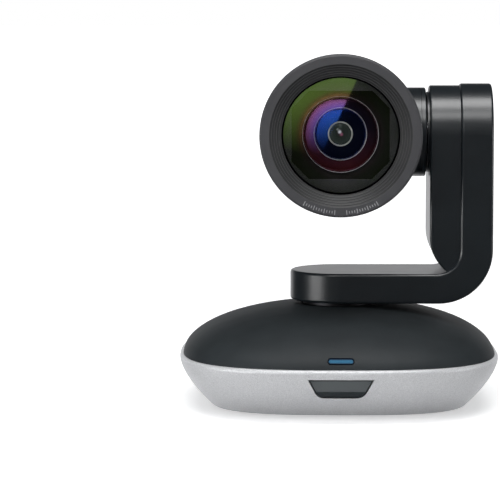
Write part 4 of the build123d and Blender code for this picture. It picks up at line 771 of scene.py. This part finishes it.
def studio_floor():
    """Pale matt floor, large enough to fill every view, and clear when it is seen from below."""
    bpy.ops.mesh.primitive_circle_add(vertices=96, radius=FLOOR_R, fill_type="NGON")
    floor = bpy.context.object
    floor.name = "floor"
    shader = Shader("pale_floor")
    shader.mottle((0.90, 0.90, 0.90), 0.006, 3)
    distance = shader.add("ShaderNodeVectorMath", operation="LENGTH")
    shader.link(shader.coords, distance.inputs[0])
    place = shader.math("DIVIDE", distance.outputs["Value"], FLOOR_GLOW_REACH)
    glow = shader.ramp(place, [(share, (level, level, level)) for share, level in FLOOR_GLOW])
    shader.link(glow, shader.surface.inputs["Emission Color"])
    seen = shader.add("ShaderNodeLightPath").outputs["Is Camera Ray"]
    shader.link(shader.spread(seen, *FLOOR_STRENGTH), shader.surface.inputs["Emission Strength"])
    shader.put(Roughness=0.7)
    clear = shader.add("ShaderNodeBsdfTransparent")
    sides = shader.add("ShaderNodeMixShader")
    shader.link(shader.add("ShaderNodeNewGeometry").outputs["Backfacing"], sides.inputs["Fac"])
    shader.link(shader.surface.outputs["BSDF"], sides.inputs[1])
    shader.link(clear.outputs["BSDF"], sides.inputs[2])
    shader.link(sides.outputs["Shader"], shader.output.inputs["Surface"])
    floor.data.materials.append(shader.material)
    floor.visible_glossy = False


# The camera stands 1.2 m in front of the pan axis and looks down a little
CAMERA_PLACE = Vector((-0.020, -1.2, 0.187))
CAMERA_LENS_MM = 209.7
CAMERA_SENSOR_MM = 36.0
CAMERA_PITCH = radians(5.88)
CAMERA_TURN = radians(0.80)


def photo_camera():
    """The camera at the photograph's viewing angle."""
    data = bpy.data.cameras.new("camera")
    data.lens = CAMERA_LENS_MM
    data.sensor_width = CAMERA_SENSOR_MM
    camera = bpy.data.objects.new("camera", data)
    camera.location = CAMERA_PLACE
    camera.rotation_euler = (pi / 2 - CAMERA_PITCH, 0.0, CAMERA_TURN)
    bpy.context.scene.collection.objects.link(camera)
    bpy.context.scene.camera = camera


# The lens shows a softbox with a slanted edge: two points of it on the glass, from the optical axis
EDGE_TOP = Vector((6.8, 23.3)) * MM
EDGE_BOTTOM = Vector((-7.0, -5.9)) * MM

# The card that stands for it, in metres: place along Y, how far it goes on below the edge's lower point,
# width and height
CARD_Y = -0.70
CARD_BELOW, CARD_WIDTH, CARD_HEIGHT = 0.008, 0.20, 0.16

# Its glow: strength, share of its height over which it sets in, radius on the glass beyond which it is
# dimmer, where it starts and ends to dim as shares of twice that radius, and its level outside
CARD_GLOW = 1.0
CARD_FADE = 0.26
CARD_RING = 15.4 * MM
CARD_RING_EDGE = (0.495, 0.54)
CARD_OUTSIDE = 0.3


def mirrored(point):
    """Where the camera sees a point of the cover glass reflect, in the card's plane, as (x, z)."""
    x, z = point.x, LENS_Z + point.y
    share = (GLASS_FACE_Y - CARD_Y) / (GLASS_FACE_Y - CAMERA_PLACE.y)
    return Vector((x + share * (x - CAMERA_PLACE.x), z + share * (z - CAMERA_PLACE.z)))


def lens_card():
    """A graded glowing card whose reflection fills the left of the lens and fades towards its foot."""
    top, bottom = mirrored(EDGE_TOP), mirrored(EDGE_BOTTOM)
    along = (top - bottom).normalized()
    left = Vector((-along.y, along.x))
    foot = bottom - along * CARD_BELOW
    side, rise = left * CARD_WIDTH, along * CARD_HEIGHT
    corners = [foot, foot + side, foot + side + rise, foot + rise]
    mesh = bpy.data.meshes.new("lens_card")
    mesh.from_pydata([(c.x, CARD_Y, c.y) for c in corners], [], [(0, 1, 2, 3)])
    card = bpy.data.objects.new("lens_card", mesh)
    bpy.context.scene.collection.objects.link(card)
    card.visible_camera = False
    card.visible_shadow = False
    shader = Shader("lens_card")
    shader.nodes.remove(shader.surface)
    height = shader.math("DIVIDE", shader.math("SUBTRACT", shader.axes()[2], foot.y), CARD_HEIGHT)
    fade = shader.ramp(height, [(0.0, (0.0, 0.0, 0.0)), (CARD_FADE, (1.0, 1.0, 1.0))], "EASE")
    middle = mirrored(Vector((0.0, 0.0)))
    scale = 1 + (GLASS_FACE_Y - CARD_Y) / (GLASS_FACE_Y - CAMERA_PLACE.y)
    ring = shader.math("DIVIDE", shader.from_point(middle.x, middle.y), 2 * CARD_RING * scale)
    full, outside = (1.0, 1.0, 1.0), (CARD_OUTSIDE, CARD_OUTSIDE, CARD_OUTSIDE)
    dim = shader.ramp(ring, [(CARD_RING_EDGE[0], full), (CARD_RING_EDGE[1], outside)])
    glow = shader.add("ShaderNodeEmission")
    glow.inputs["Strength"].default_value = CARD_GLOW
    shader.link(shader.mixed("MULTIPLY", 1.0, fade, dim), glow.inputs["Color"])
    shader.link(glow.outputs["Emission"], shader.output.inputs["Surface"])
    mesh.materials.append(shader.material)


paint_cad_nodes()
build_lens()
studio_world()
studio_floor()
photo_camera()
lens_card()
for measures in SOFTBOXES:
    softbox(*measures)

view = bpy.context.scene.view_settings
view.view_transform = "Standard"
view.look = "None"
